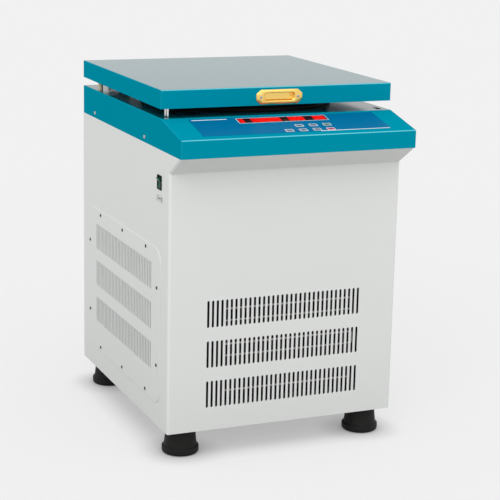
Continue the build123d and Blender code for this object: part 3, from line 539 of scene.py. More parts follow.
def outline(width, height, corner_x, corner_y, along=1, up=1, arc=3, cut=False):
    """Points round a rectangle with round or cut corners, from the middle of its lower right corner.
    Each corner is a quarter turn, or a straight cut, in 2 x arc steps, and along and up are the numbers
    of steps on the straight sides."""
    step = np.linspace(0.0, 1.0, 2 * arc + 1)
    sideways = step if cut else np.sin(step * pi / 2)
    upwards = step if cut else 1 - np.cos(step * pi / 2)
    half_x, half_y = width / 2, height / 2
    low = np.stack([half_x - corner_x * (1 - sideways), -half_y + corner_y * upwards], axis=-1)
    high = (low * np.array([1.0, -1.0]))[::-1]
    rise = np.linspace(-half_y + corner_y, half_y - corner_y, up + 1)[1:-1]
    run = np.linspace(half_x - corner_x, corner_x - half_x, along + 1)[1:-1]
    edge = np.stack([np.full_like(rise, half_x), rise], axis=-1)
    top = np.stack([run, np.full_like(run, half_y)], axis=-1)
    half = np.concatenate([low, edge, high, top])
    return np.roll(np.concatenate([half, -half]), -arc, axis=0)


def square_outline(width, height, along, up):
    """Evenly spaced points round a rectangle, from its lower right corner."""
    rise = np.linspace(-height / 2, height / 2, up + 1)[:-1]
    run = np.linspace(width / 2, -width / 2, along + 1)[:-1]
    edge = np.stack([np.full_like(rise, width / 2), rise], axis=-1)
    top = np.stack([run, np.full_like(run, height / 2)], axis=-1)
    half = np.concatenate([edge, top])
    return np.concatenate([half, -half])


def stack(levels, place):
    """Matching outlines, each at its height out of a face, skinned in turn and closed at both ends."""
    rows = [on_frame(flat, height, place) for flat, height in levels]
    return grid(np.stack(rows), wrap_columns=True, cap_first=True, cap_last=True)


def slab(width, height, corner, low, high, bevel, place, middle=(0.0, 0.0)):
    """A plate with round corners and a quarter-round upper edge of radius b: inset b (1 - cos a) and
    height b sin a, with a in three steps."""
    middle = np.array(middle)
    least_corner = 0.05
    levels = [(outline(width, height, corner, corner) + middle, low)]
    for angle in np.linspace(0.0, pi / 2, 4):
        inset = bevel * (1 - cos(angle))
        round_corner = max(corner - inset, least_corner)
        flat = outline(width - 2 * inset, height - 2 * inset, round_corner, round_corner)
        levels.append((flat + middle, high - bevel + bevel * sin(angle)))
    return stack(levels, place)


def border(inner, outer, low, high, place):
    """A flat frame between two matching outlines, from one height to another."""
    section = [(0.0, low), (0.0, high), (1.0, high), (1.0, low)]
    rows = [on_frame(inner + share * (outer - inner), level, place) for share, level in section]
    return grid(np.stack(rows), wrap_rows=True, wrap_columns=True)


def turned(profile, place, turns, closed=False):
    """Each (radius, height) point carried round its axis: origin + radius (cos a ACROSS + sin a ALONG)
    + height OUT. A closed profile is a ring's section."""
    profile = np.array(profile, float)
    angle = np.linspace(0.0, 2 * pi, turns, endpoint=False)
    circle = np.stack([np.cos(angle), np.sin(angle)], axis=-1)
    flat = profile[:, None, :1] * circle[None]
    return grid(on_frame(flat, profile[:, 1:], place), wrap_rows=closed, wrap_columns=True)


def softened(corners, reach, steps=4, closed=False):
    """A path with eased corners: corner P becomes (1-t)^2 S + 2t(1-t) P + t^2 E, where S and E lie at the
    reach from P on its two sides, or half way where a side is short."""
    corners = np.array(corners, float)
    before = np.roll(corners, 1, axis=0) - corners
    after = np.roll(corners, -1, axis=0) - corners
    before_length = np.linalg.norm(before, axis=1, keepdims=True)
    after_length = np.linalg.norm(after, axis=1, keepdims=True)
    start = corners + before * np.minimum(reach / before_length, 0.5)
    end = corners + after * np.minimum(reach / after_length, 0.5)
    t = np.linspace(0.0, 1.0, steps + 1)[None, :, None]
    bends = (1 - t) ** 2 * start[:, None] + 2 * t * (1 - t) * corners[:, None] + t**2 * end[:, None]
    if closed:
        return bends.reshape(-1, corners.shape[1])
    inner = bends[1:-1].reshape(-1, corners.shape[1])
    return np.concatenate([corners[:1], inner, corners[-1:]])


def tube(path, radius, side, flats):
    """A round wire in one plane: path + radius (cos a SIDE + sin a (SIDE x direction))."""
    direction = np.gradient(path, axis=0)
    direction /= np.linalg.norm(direction, axis=1, keepdims=True)
    side = np.array(side, float)
    rise = np.cross(side, direction)
    angle = np.linspace(0.0, 2 * pi, flats, endpoint=False)[None, :, None]
    points = path[:, None] + radius * (np.cos(angle) * side + np.sin(angle) * rise[:, None])
    return grid(points, wrap_columns=True, cap_first=True, cap_last=True)


def upright_bars(width, depth, low, high, spots):
    """The same straight bar, a rectangle carried from one level to another, at each (x, y) spot."""
    flat = square_outline(width, depth, 1, 1)
    bar = stack([(flat, low), (flat, high)], ON_GROUND)
    return copies(bar, [(x, y, 0.0) for x, y in spots])


def piece(name, shape, material, body, replaces=()):
    """A finished object: welded, faces outwards, smooth up to the bend angle, riding on its body."""
    points, blocks = shape
    mesh = bpy.data.meshes.new(name)
    faces = [face for block in blocks for face in block.tolist()]
    mesh.from_pydata((points * MILLIMETRE).tolist(), [], faces)
    work = bmesh.new()
    work.from_mesh(mesh)
    bmesh.ops.remove_doubles(work, verts=work.verts, dist=WELD_DISTANCE)
    bmesh.ops.recalc_face_normals(work, faces=work.faces)
    work.to_mesh(mesh)
    work.free()
    mesh.polygons.foreach_set("use_smooth", np.ones(len(mesh.polygons), bool))
    mesh.set_sharp_from_angle(angle=radians(SMOOTH_BEND))
    mesh.materials.append(material)
    made = bpy.data.objects.new(name, mesh)
    bpy.context.scene.collection.objects.link(made)
    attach(made, body)
    for node in replaces:
        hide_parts(node)


# Faces that pieces are set on, each looking out, and axes that they are turned round, looking up. Across
# runs to the front on the left side, so that a spot there is (-y, z), and to the left at the back.
ON_GROUND = place_frame((0.0, 0.0, 0.0), (1, 0, 0), (0, 1, 0))
ON_FRONT = place_frame((0.0, FRONT, 0.0), (1, 0, 0), (0, 0, 1))
ON_LEFT = place_frame((-SIDE, 0.0, 0.0), (0, -1, 0), (0, 0, 1))
ON_LEFT_PLATE = place_frame((-SIDE - SHEET, 0.0, 0.0), (0, -1, 0), (0, 0, 1))
ON_SWITCH = place_frame((-SIDE, SWITCH_Y, SWITCH_Z), (0, -1, 0), (0, 0, 1))
ON_REAR = place_frame((0.0, REAR, 0.0), (-1, 0, 0), (0, 0, 1))
ON_LID_FRONT = place_frame((0.0, LID_FRONT, PULL_HEIGHT), (1, 0, 0), (0, 0, 1))
ON_SLOPE = place_frame(SLOPE_MIDDLE, (1, 0, 0), (0, cos(SLOPE_ANGLE), sin(SLOPE_ANGLE)))
IN_CHAMBER = place_frame((0.0, CHAMBER_Y, 0.0), (1, 0, 0), (0, 1, 0))


# White panels with their vents

def slotted_field(columns, length, place, middle):
    """Rows of round-ended slots: each slot's outline is joined to its own cell's rectangle on the front,
    joined to its copy through the sheet, and joined to the rectangle again on the back."""
    hole = outline(SLOT_WIDTH, length, SLOT_CORNER, SLOT_CORNER, arc=2)
    cell = square_outline(SLOT_PITCH, ROW_PITCH, CELL_STEPS, CELL_STEPS)
    rows = [(cell, 0.0), (hole, 0.0), (hole, -SHEET), (cell, -SHEET)]
    one = grid(np.stack([on_frame(flat, height, place) for flat, height in rows]), wrap_columns=True)
    across = (np.arange(columns) - (columns - 1) / 2) * SLOT_PITCH + middle[0]
    up = (np.arange(ROWS) - (ROWS - 1) / 2) * ROW_PITCH + middle[1]
    run, rise = np.meshgrid(across, up)
    shifts = run.reshape(-1, 1) * place[1] + rise.reshape(-1, 1) * place[2]
    return copies(one, shifts)


def field_outline(columns, middle):
    """Points round a whole field of slots, in step with the points of its cells."""
    edge = square_outline(
        columns * SLOT_PITCH, ROWS * ROW_PITCH, columns * CELL_STEPS, ROWS * CELL_STEPS
    )
    return edge + np.array(middle)


def make_front_panel():
    """The front sheet: a slotted field, a plain margin round it on both faces, its own edge down the left
    side, along the bottom and up the right side, and the chin above. The chin is a folded section, with
    eased corners, carried straight across and closed at both ends."""
    fold_start = CHIN - 7.0
    ease = 4.0
    # The leaning sheet's thickness on a level line, and how far its inner corner lies above the outer one
    level_wall, corner_rise = 2.8, 0.8
    along, up = FRONT_COLUMNS * CELL_STEPS, ROWS * CELL_STEPS
    inner = field_outline(FRONT_COLUMNS, FRONT_FIELD_MIDDLE)
    outer = square_outline(2 * PANEL_HALF, fold_start - BOTTOM, along, up)
    outer = outer + np.array([0.0, (fold_start + BOTTOM) / 2])
    shapes = [slotted_field(FRONT_COLUMNS, FRONT_SLOT_LENGTH, ON_FRONT, FRONT_FIELD_MIDDLE)]
    for height in (0.0, -SHEET):
        rows = [on_frame(flat, height, ON_FRONT) for flat in (inner, outer)]
        shapes.append(grid(np.stack(rows), wrap_columns=True))
    rim = np.roll(outer, -(along + up), axis=0)[: along + 2 * up + 1]
    shapes.append(grid(np.stack([on_frame(rim, height, ON_FRONT) for height in (0.0, -SHEET)])))
    outside = [(FRONT, fold_start), (FRONT, CHIN), (CONSOLE_FRONT, BODY_TOP)]
    inside = [
        (CONSOLE_FRONT + level_wall, BODY_TOP), (FRONT + SHEET, CHIN + corner_rise),
        (FRONT + SHEET, fold_start),
    ]
    section = np.concatenate([softened(outside, ease), softened(inside, ease)])
    across = np.linspace(-PANEL_HALF, PANEL_HALF, along + 1)
    strip = np.empty((len(section), len(across), 3))
    strip[..., 0] = across[None]
    strip[..., 1:] = section[:, None]
    shapes.append(grid(strip))
    for column in (0, -1):
        shapes.append((strip[:, column], [np.arange(len(section))[None, :]]))
    piece("front_vent_panel", joined(shapes), white_enamel, "cabinet", ["front_panel"])


def make_access_panels():
    """A slotted plate on each side: the field's outline is carried out to the plate's round-cornered
    edge, which falls away a little, and back on the inner face. A filter mat lies behind the slots."""
    corner_steps = 10
    mat_width, mat_height, mat_corner, mat_depth, mat_gap = 472.0, 290.0, 6.0, 8.0, 0.3
    along, up = SIDE_COLUMNS * CELL_STEPS, ROWS * CELL_STEPS
    inner = field_outline(SIDE_COLUMNS, SIDE_FIELD_MIDDLE)
    outer = outline(
        PLATE_WIDTH, PLATE_HEIGHT, PLATE_CORNER, PLATE_CORNER,
        along - corner_steps, up - corner_steps, corner_steps // 2,
    )
    outer = outer + np.array(PLATE_MIDDLE)
    section = [
        (0.0, 0.0), (0.97, 0.0), (0.985, 0.0), (0.996, -0.15), (1.0, -0.5), (1.0, -SHEET), (0.0, -SHEET),
    ]
    rows = [on_frame(inner + share * (outer - inner), height, ON_LEFT_PLATE) for share, height in section]
    margin = grid(np.stack(rows), wrap_columns=True)
    field = slotted_field(SIDE_COLUMNS, SIDE_SLOT_LENGTH, ON_LEFT_PLATE, SIDE_FIELD_MIDDLE)
    plate = joined([field, margin])
    behind_field = place_frame((-SIDE + mat_gap, 0.0, 0.0), (0, -1, 0), (0, 0, 1))
    mat = slab(mat_width, mat_height, mat_corner, -mat_depth, 0.0, 0.5, behind_field, SIDE_FIELD_MIDDLE)
    for side, plates, mats in (("left", plate, mat), ("right", mirrored(plate), mirrored(mat))):
        node = side + "_access_panel"
        piece(side + "_slotted_cover", plates, white_enamel, "cabinet", [node])
        piece(side + "_filter_mat", mats, filter_fleece, "cabinet")


# Screws

def screw_heads(radius, height, place, spots, cross=True):
    """Domed heads of radius R: height h (1 - 0.4 (r/R)^2), less 0.55 h in a recess, which is a cross or
    one level slot. The recess's half width and reach are shares of the radius."""
    share = np.array([0.0, 0.12, 0.24, 0.36, 0.48, 0.6, 0.74, 0.88, 0.96])
    half_width, cross_reach, slot_reach = 0.17, 0.62, 1.1
    angle = np.linspace(0.0, 2 * pi, 24, endpoint=False)
    circle = np.stack([np.cos(angle), np.sin(angle)], axis=-1)
    flat = share[:, None, None] * radius * circle[None]
    size = np.abs(flat) / radius
    upright_cut = (size[..., 0] < half_width) & (size[..., 1] < cross_reach)
    level_cut = (size[..., 1] < half_width) & (size[..., 0] < (cross_reach if cross else slot_reach))
    recess = (upright_cut & cross) | level_cut
    dome = height * (1 - 0.4 * share[:, None] ** 2) - 0.55 * height * recess
    rim = on_frame(circle[None] * radius, 0.0, place)
    head = grid(np.concatenate([on_frame(flat, dome, place), rim]), wrap_columns=True, cap_last=True)
    spots = np.array(spots, float)
    return copies(head, spots[:, :1] * place[1] + spots[:, 1:] * place[2])


def make_side_screws():
    """Cross heads round both side plates, and larger ones at the ends of the console cover."""
    plate_spots = [(-y, z) for y in (-151.5, 29.0, 209.5) for z in (134.0, 496.0)]
    plate_spots += [(-y, z) for y in (-232.5, 302.5) for z in (218.5, 411.5)]
    cover_spots = [(-y, 760.0) for y in (-134.5, 261.5)]
    plate_heads = screw_heads(radius=4.2, height=2.1, place=ON_LEFT_PLATE, spots=plate_spots)
    both = joined([plate_heads, mirrored(plate_heads)])
    piece("cross_head_screws", both, dark_screw, "cabinet", ["panel_screws"])
    cover_heads = screw_heads(radius=5.0, height=2.6, place=ON_LEFT, spots=cover_spots)
    both = joined([cover_heads, mirrored(cover_heads)])
    piece("cover_screws", both, bright_screw, "cabinet")


# Feet

def make_feet():
    """Four feet, each a profile of radius and height with eased corners, turned round its own axis: a
    wide sole, a step, and a neck that narrows up to the cabinet."""
    profile = softened(
        [
            (0.0, 0.0), (40.5, 0.0), (44.8, 3.5), (45.5, 6.5), (45.5, 16.0), (44.6, 17.6), (40.6, 19.4),
            (38.6, 36.0), (37.0, 54.0), (36.0, BOTTOM), (0.0, BOTTOM),
        ],
        reach=1.2,
    )
    spots = [(x, y, 0.0) for x in (-FOOT_X, FOOT_X) for y in (FOOT_FRONT, FOOT_REAR)]
    feet = copies(turned(profile, ON_GROUND, turns=56), spots)
    piece("moulded_feet", feet, black_rubber, "cabinet", ["rubber_feet"])


# Brass pull, striker and liner of the lid

def make_brass_pull():
    """Matching outlines from the floor of the finger pocket up its wall, over its lip, across the plate
    with its cut corners, down the plate's edge, back under it and down the pocket's outside. Its two
    screws have one slot each."""
    def pocket(width, height, corner):
        return outline(width, height, corner, corner, along=6)

    def plate(inset):
        width, height = 119.0 - 2 * inset, 35.0 - 2 * inset
        return outline(width, height, 12.0 - inset * 0.5, 10.0 - inset * 0.5, along=6, cut=True)

    levels = [
        (pocket(74.0, 15.0, 5.0), -10.5),
        (pocket(78.0, 19.0, 7.0), -8.5),
        (pocket(78.0, 19.0, 7.0), 1.2),
        (pocket(80.5, 21.5, 8.0), PULL_FACE),
        (plate(2.0), PULL_FACE),
        (plate(0.0), 0.9),
        (plate(0.0), 0.0),
        (pocket(81.0, 22.0, 8.0), 0.0),
        (pocket(81.0, 22.0, 8.0), -12.0),
    ]
    piece("brass_pull", stack(levels, ON_LID_FRONT), brass, "lid", ["lid_handle"])
    on_plate = place_frame((0.0, LID_FRONT - PULL_FACE, PULL_HEIGHT), (1, 0, 0), (0, 0, 1))
    screw_spots = [(-48.0, 0.0), (48.0, 0.0)]
    heads = screw_heads(radius=3.4, height=1.2, place=on_plate, spots=screw_spots, cross=False)
    piece("pull_screws", heads, zinc_steel, "lid", ["handle_screws"])


def make_striker():
    """A square-cornered loop of round wire that hangs from the lid, with eased bends."""
    x, front, rear, low = -276.0, -228.5, -212.5, 795.0
    corners = [(x, front, LID_BOTTOM), (x, front, low), (x, rear, low), (x, rear, LID_BOTTOM)]
    wire = tube(softened(corners, reach=6.0, steps=8), radius=2.5, side=(1, 0, 0), flats=16)
    piece("striker_wire", wire, chrome, "lid", ["lid_striker"])


def make_lid_inside():
    """The stainless plate over the chamber, turned with an eased rim, a ring of screws round it, and the
    screws along the liner's four edges."""
    plate_face, screw_ring = 1.3, 196.0
    under_lid = place_frame((0.0, 0.0, LID_BOTTOM), (1, 0, 0), (0, -1, 0))
    over_chamber = place_frame((0.0, CHAMBER_Y, LID_BOTTOM), (1, 0, 0), (0, -1, 0))
    on_plate = place_frame((0.0, CHAMBER_Y, LID_BOTTOM - plate_face), (1, 0, 0), (0, -1, 0))
    profile = [
        (0.0, -0.2), (207.0, -0.2), (208.0, 0.3), (207.6, 0.9), (206.6, 1.2), (204.0, plate_face),
        (0.0, plate_face),
    ]
    plate = turned(profile, over_chamber, turns=96)
    piece("chamber_lid_plate", plate, stainless, "lid")
    plate_spots = [(screw_ring * cos(turn), screw_ring * sin(turn)) for turn in np.arange(12) * pi / 6]
    liner_spots = [(x, -y) for x in (-210.0, -70.0, 70.0, 210.0) for y in (-231.0, 350.0)]
    liner_spots += [(x, -y) for x in (-284.0, 284.0) for y in (-110.0, 40.0, 180.0, 350.0)]
    heads = [
        screw_heads(radius=3.6, height=1.8, place=on_plate, spots=plate_spots),
        screw_heads(radius=4.0, height=2.0, place=under_lid, spots=liner_spots),
    ]
    piece("liner_screws", joined(heads), bright_screw, "lid")


# Screws at the back

def make_rear_screws():
    """Cross heads down both edges of the rear panel, and two more along its bottom and its top."""
    bottom, top = 92.0, 722.0
    spots = [(x, z) for x in (-286.0, 286.0) for z in (bottom, 300.0, 510.0, top)]
    spots += [(x, z) for x in (-95.0, 95.0) for z in (bottom, top)]
    heads = screw_heads(radius=4.2, height=2.2, place=ON_REAR, spots=spots)
    piece("rear_screws", heads, dark_screw, "cabinet")


def make_hinge_screws():
    """Two heads on each leaf of the two hinges."""
    leaf_thickness, hinge_x, screw_x = 2.5, 200.0, 17.0
    on_leaf = place_frame((0.0, REAR + leaf_thickness, 0.0), (-1, 0, 0), (0, 0, 1))
    across = [hinge + screw for hinge in (-hinge_x, hinge_x) for screw in (-screw_x, screw_x)]
    for name, body, level in (("hinge_base_screws", "cabinet", 807.0), ("hinge_lid_screws", "lid", 854.0)):
        spots = [(x, level) for x in across]
        heads = screw_heads(radius=4.0, height=1.8, place=on_leaf, spots=spots)
        piece(name, heads, bright_screw, body)


# Power switch and its plate

def make_switch():
    """Matching outlines from the floor of the rocker's well up its wall, over its eased edge, across the
    bezel, down the bezel's edge, back under it and down the body's outside."""
    def level(width, height, corner, depth):
        return outline(width, height, corner, corner), depth

    levels = [
        level(20.6, 28.5, 0.6, -21.5),
        level(20.6, 28.5, 0.6, 1.5),
        level(21.8, 29.7, 1.0, 2.0),
        level(28.4, 33.4, 2.0, 2.0),
        level(30.0, 35.0, 2.6, 1.1),
        level(30.0, 35.0, 2.6, 0.0),
        level(26.0, 31.0, 0.8, 0.0),
        level(26.0, 31.0, 0.8, -24.0),
    ]
    body = stack(levels, ON_SWITCH)
    piece("switch_bezel", body, black_plastic, "cabinet", ["power_switch_body"])


def make_rocker():
    """A section across the rocker's pivot, carried along it and drawn in at both ends. Its face stands
    out by middle + lobe |z / half|^hollow, so that it dips between its two lobes. It is tilted about
    the pivot, with one lobe out."""
    half, root, taper, pivot_out = 12.6, 6.0, 2.0, 2.5
    middle, lobe, hollow = 3.0, 4.0, 1.2
    tilt = radians(-12.0)
    rise = np.linspace(-half, half, 17)
    face = np.stack([-middle - lobe * np.abs(rise / half) ** hollow, rise], axis=-1)
    corners = np.concatenate([[(root, taper - half)], face, [(root, half - taper)]])
    section = softened(corners, reach=0.8, steps=2, closed=True)
    across = (cos(tilt), 0.0, -sin(tilt))
    along = (sin(tilt), 0.0, cos(tilt))
    place = place_frame((-SIDE + pivot_out, SWITCH_Y, SWITCH_Z), across, along)
    ends = ((0.93, 10.0), (0.98, 9.7), (1.0, 9.0))
    levels = [(section * share, -reach) for share, reach in ends]
    levels += [(section * share, reach) for share, reach in reversed(ends)]
    cap = stack(levels, place)
    piece("rocker_cap", cap, green_rocker, "power_rocker", ["power_rocker"])


def make_switch_plate():
    """A small plate under the switch, with a rule round it and a plain bar, dash and ring on it."""
    def disc(size):
        return outline(size, size, size / 2 - 0.01, size / 2 - 0.01)

    plate_width, plate_height, face = 47.5, 15.0, 0.35
    ink_low, ink_high = 0.3, 0.45
    place = place_frame((-SIDE, -245.25, 631.5), (0, -1, 0), (0, 0, 1))
    plate = slab(plate_width, plate_height, 1.5, -0.2, face, 0.2, place)
    piece("switch_plate", plate, white_enamel, "cabinet")
    inner = outline(plate_width - 3.2, plate_height - 3.2, 1.2, 1.2)
    outer = outline(plate_width - 1.0, plate_height - 1.0, 1.4, 1.4)
    rule = border(inner, outer, ink_low, 0.42, place)
    piece("switch_plate_rule", rule, grey_ink, "cabinet")
    bar = slab(4.2, 9.0, 0.4, ink_low, ink_high, 0.05, place, (-12.0, 0.0))
    dash = slab(11.0, 3.4, 0.4, ink_low, ink_high, 0.05, place, (-1.0, 0.0))
    ring = copies(border(disc(4.2), disc(9.2), ink_low, ink_high, place), [12.0 * place[1]])
    piece("switch_marks", joined([bar, dash, ring]), dark_ink, "cabinet")


# Control panel

def make_window():
    """The pane in the film, and the lit fields on it, each given by its left end and its width."""
    field_height, field_face = 24.0, FILM_FACE + 0.08
    level = WINDOW_MIDDLE[1]
    pane = slab(WINDOW_WIDTH, WINDOW_HEIGHT, 1.0, -SHEET, FILM_FACE, 0.25, ON_SLOPE, WINDOW_MIDDLE)
    piece("window_pane", pane, red_window, "cabinet", ["display_window"])
    fields = [
        slab(width, field_height, 1.0, 0.3, field_face, 0.05, ON_SLOPE, (left + width / 2, level))
        for left, width in ((-119.5, 13.5), (-87.5, 75.5), (8.5, 40.0), (72.0, 30.5))
    ]
    piece("lit_fields", joined(fields), lit_red, "cabinet")


# The bars that each figure lights, and each bar's place in the figure and whether it lies level
FIGURE_BARS = {"0": "abcdef", "1": "bc", "2": "abged", "4": "fgbc", "5": "afgcd"}
BAR_PLACES = {
    "a": (0.0, 8.4, True), "b": (4.2, 4.2, False), "c": (4.2, -4.2, False), "d": (0.0, -8.4, True),
    "e": (-4.2, -4.2, False), "f": (-4.2, 4.2, False), "g": (0.0, 0.0, True),
}


def make_digits():
    """Seven-bar figures, each given by its middle and its number: every lit bar is a six-cornered plate,
    lying or standing at its place in the figure."""
    bar_face = FILM_FACE + 0.18
    bar = np.array([(-3.4, 0.0), (-2.5, 0.95), (2.5, 0.95), (3.4, 0.0), (2.5, -0.95), (-2.5, -0.95)])
    figures = [
        (-114.0, "1"), (-79.0, "1"), (-64.5, "2"), (-50.0, "0"), (-35.5, "0"), (-21.0, "0"),
        (15.0, "1"), (28.5, "5"), (42.0, "0"), (80.0, "0"), (94.5, "4"),
    ]
    bars = []
    for across, figure in figures:
        for label in FIGURE_BARS[figure]:
            x, y, lying = BAR_PLACES[label]
            flat = (bar if lying else bar[:, ::-1]) + np.array([across + x, WINDOW_MIDDLE[1] + y])
            bars.append(stack([(flat, FILM_FACE), (flat, bar_face)], ON_SLOPE))
    piece("lit_figures", joined(bars), lit_segment, "cabinet")


# Each key's middle on the slope, its finish and its slot
KEYS = {
    "set_key": (-20.0, -36.9, grey_key, "grey_key"),
    "down_key": (16.0, -36.9, grey_key, "grey_key"),
    "brake_key": (51.5, -36.9, grey_key, "grey_key"),
    "stop_key": (87.0, -36.9, red_key, "red_key"),
    "up_key": (17.0, -9.2, grey_key, "grey_key"),
    "select_key": (53.0, -9.2, grey_key, "grey_key"),
    "start_key": (89.0, -9.2, green_key, "green_key"),
}


def key_mark(name):
    """The outlines of one key's plain mark: arrows up, down and to the side, a square, or bars."""
    up = np.array([(-3.4, -2.6), (3.4, -2.6), (0.0, 3.2)])
    box = outline(5.0, 5.0, 0.3, 0.3, arc=1)
    bar = outline(8.0, 1.8, 0.3, 0.3, arc=1)
    post = outline(1.8, 6.5, 0.3, 0.3, arc=1)
    marks = {
        "up_key": [up],
        "down_key": [-up],
        "start_key": [up[:, ::-1]],
        "stop_key": [box],
        "set_key": [bar],
        "brake_key": [bar + (0.0, 2.2), bar - (0.0, 2.2)],
        "select_key": [post - (2.6, 0.0), post + (2.6, 0.0)],
    }
    return marks[name]


def make_keys():
    """Each key is an eased cap on a wider lip that lies under the film, with a rim and a mark printed on
    its face. All of it moves with the key."""
    lip_width, lip_height, low, lip_top = 24.0, 18.0, -3.0, -1.8
    rim_start, rim_end = 0.8, 3.4
    ink_low, ink_high = KEY_FACE - 0.2, KEY_FACE + 0.06
    for name, (across, rise, material, slot) in KEYS.items():
        middle = np.array([across, rise])
        cap = slab(KEY_WIDTH, KEY_HEIGHT, 1.6, low, KEY_FACE, 0.35, ON_SLOPE, middle)
        lip = slab(lip_width, lip_height, 1.6, low, lip_top, 0.1, ON_SLOPE, middle)
        piece(name.replace("_key", "_cap"), joined([cap, lip]), material, name, [name])
        inner = outline(KEY_WIDTH - rim_end, KEY_HEIGHT - rim_end, 1.0, 1.0) + middle
        outer = outline(KEY_WIDTH - rim_start, KEY_HEIGHT - rim_start, 1.5, 1.5) + middle
        rim = border(inner, outer, ink_low, ink_high, ON_SLOPE)
        piece(name.replace("_key", "_rim"), rim, white_ink_and_highlight, name)
        flats = [flat + middle for flat in key_mark(name)]
        marks = [stack([(flat, ink_low), (flat, ink_high)], ON_SLOPE) for flat in flats]
        piece(name.replace("_key", "_mark"), joined(marks), dark_ink, name)


def make_film_print_and_highlight():
    """The printed light line round the display, a painted highlight along the film's lower right edge, and
    a light line at its upper left.
    """
    ink_low, ink_high = FILM_FACE - 0.1, FILM_FACE + 0.08
    line_start, line_end = 0.8, 3.6
    low_middle, high_middle = (148.0, -46.5), (-189.0, 48.5)
    middle = np.array(WINDOW_MIDDLE)
    inner = outline(WINDOW_WIDTH + line_start, WINDOW_HEIGHT + line_start, 1.2, 1.2) + middle
    outer = outline(WINDOW_WIDTH + line_end, WINDOW_HEIGHT + line_end, 2.4, 2.4) + middle
    around = border(inner, outer, ink_low, ink_high, ON_SLOPE)
    # A painted highlight along the film's lower right edge, drawn as a light strip.
    lower_edge_highlight = slab(182.0, 2.8, 0.4, ink_low, ink_high, 0.05, ON_SLOPE, low_middle)
    upper_left_line = slab(88.0, 3.4, 0.4, ink_low, ink_high, 0.05, ON_SLOPE, high_middle)
    piece("film_print_and_highlight", joined([around, lower_edge_highlight, upper_left_line]), white_ink_and_highlight, "cabinet")


# Condenser behind the front vents

def make_condenser():
    """Thin upright fins between two flanged end plates. Across their front run level tubes, joined at
    alternate ends by half turns: end + bend cos a outwards, level + pitch (1 + sin a) / 2 up."""
    bottom, fin_bottom, top = 71.0, 126.0, 396.0
    fin_count, fin_pitch = 100, 4.0
    tube_y, tube_radius, tube_left, tube_right = -280.6, 2.4, -142.0, 196.0
    tube_count, tube_low, tube_pitch, bend_out = 8, 152.5, 29.5, 3.6
    fin_spots = [(x, -256.5) for x in (np.arange(fin_count) - (fin_count - 1) / 2) * fin_pitch]
    end_spots = [(x, -258.5) for x in (-200.0, 200.0)]
    flange_spots = [(x, y) for x in (-207.5, 207.5) for y in (-282.4, -234.6)]
    core = joined([
        upright_bars(width=0.5, depth=44.0, low=fin_bottom, high=top, spots=fin_spots),
        upright_bars(width=2.0, depth=50.0, low=bottom, high=top, spots=end_spots),
        upright_bars(width=15.0, depth=2.0, low=bottom, high=top, spots=flange_spots),
    ])
    piece("fin_block", core, aluminium_fins, "cabinet", ["condenser"])
    levels = np.arange(tube_count) * tube_pitch + tube_low
    path = np.array([(tube_left, tube_y, 0.0), (0.0, tube_y, 0.0), (tube_right, tube_y, 0.0)])
    run = tube(path, tube_radius, side=(0, 1, 0), flats=10)
    shapes = [copies(run, [(0.0, 0.0, level) for level in levels])]
    half_turn = np.linspace(-pi / 2, pi / 2, 9)
    for number, level in enumerate(levels[:-1]):
        end, outwards = (tube_right, 1.0) if number % 2 else (tube_left, -1.0)
        across = end + outwards * bend_out * np.cos(half_turn)
        up = level + tube_pitch / 2 * (1 + np.sin(half_turn))
        bend = np.stack([across, np.full_like(across, tube_y), up], axis=-1)
        shapes.append(tube(bend, tube_radius, side=(0, 1, 0), flats=10))
    piece("coil_tubes", joined(shapes), coil_tube, "cabinet")


# Chamber

def make_chamber():
    """The bowl and the gasket above it, each a closed section of radius and height with eased corners,
    turned round the chamber's axis."""
    bowl = softened(
        [
            (28.0, 566.5), (187.0, 566.5), (215.0, 594.0), (215.0, 816.0), (214.0, 818.5), (216.5, 818.5),
            (216.5, 593.0), (187.5, 565.0), (28.0, 565.0),
        ],
        reach=10.0, steps=6,
    )
    bowl = turned(bowl, IN_CHAMBER, turns=96, closed=True)
    piece("spun_bowl", bowl, stainless, "cabinet", ["chamber_bowl"])
    lip = softened(
        [
            (218.0, 820.0), (242.0, 820.0), (242.0, 829.0), (238.5, 832.0), (236.5, 838.5), (232.0, 841.7),
            (227.0, 841.7), (223.0, 838.0), (221.5, 832.0), (218.0, 829.0),
        ],
        reach=2.0, steps=3, closed=True,
    )
    lip = turned(lip, IN_CHAMBER, turns=96, closed=True)
    piece("lipped_gasket", lip, gasket_rubber, "cabinet", ["chamber_gasket"])


# Cable gland at the back

def make_gland():
    """A ribbed sleeve with a bore, turned from a closed section, and its six-sided nut."""
    place = place_frame((200.0, REAR, 151.0), (-1, 0, 0), (0, 0, 1))
    sleeve = [
        (4.5, -13.5), (7.4, -13.5), (7.4, 0.0), (9.3, 0.0), (9.3, 7.0), (8.7, 7.5), (8.7, 9.0), (8.2, 9.4),
        (8.2, 10.6), (7.6, 11.0), (7.2, 12.2), (6.0, 13.0), (4.5, 13.0),
    ]
    nut = [(8.0, 0.0), (10.6, 0.0), (11.0, 0.5), (11.0, 5.0), (10.4, 5.8), (8.0, 5.8)]
    shapes = [turned(sleeve, place, turns=36, closed=True), turned(nut, place, turns=6, closed=True)]
    piece("ribbed_gland", joined(shapes), black_plastic, "cabinet", ["cable_gland"])


make_front_panel()
make_access_panels()
make_side_screws()
make_feet()
make_brass_pull()
make_striker()
make_lid_inside()
make_rear_screws()
make_hinge_screws()
make_switch()
make_rocker()
make_switch_plate()
make_window()
make_digits()
make_keys()
make_film_print_and_highlight()
make_condenser()
make_chamber()
make_gland()


# Floor, light and camera, in metres

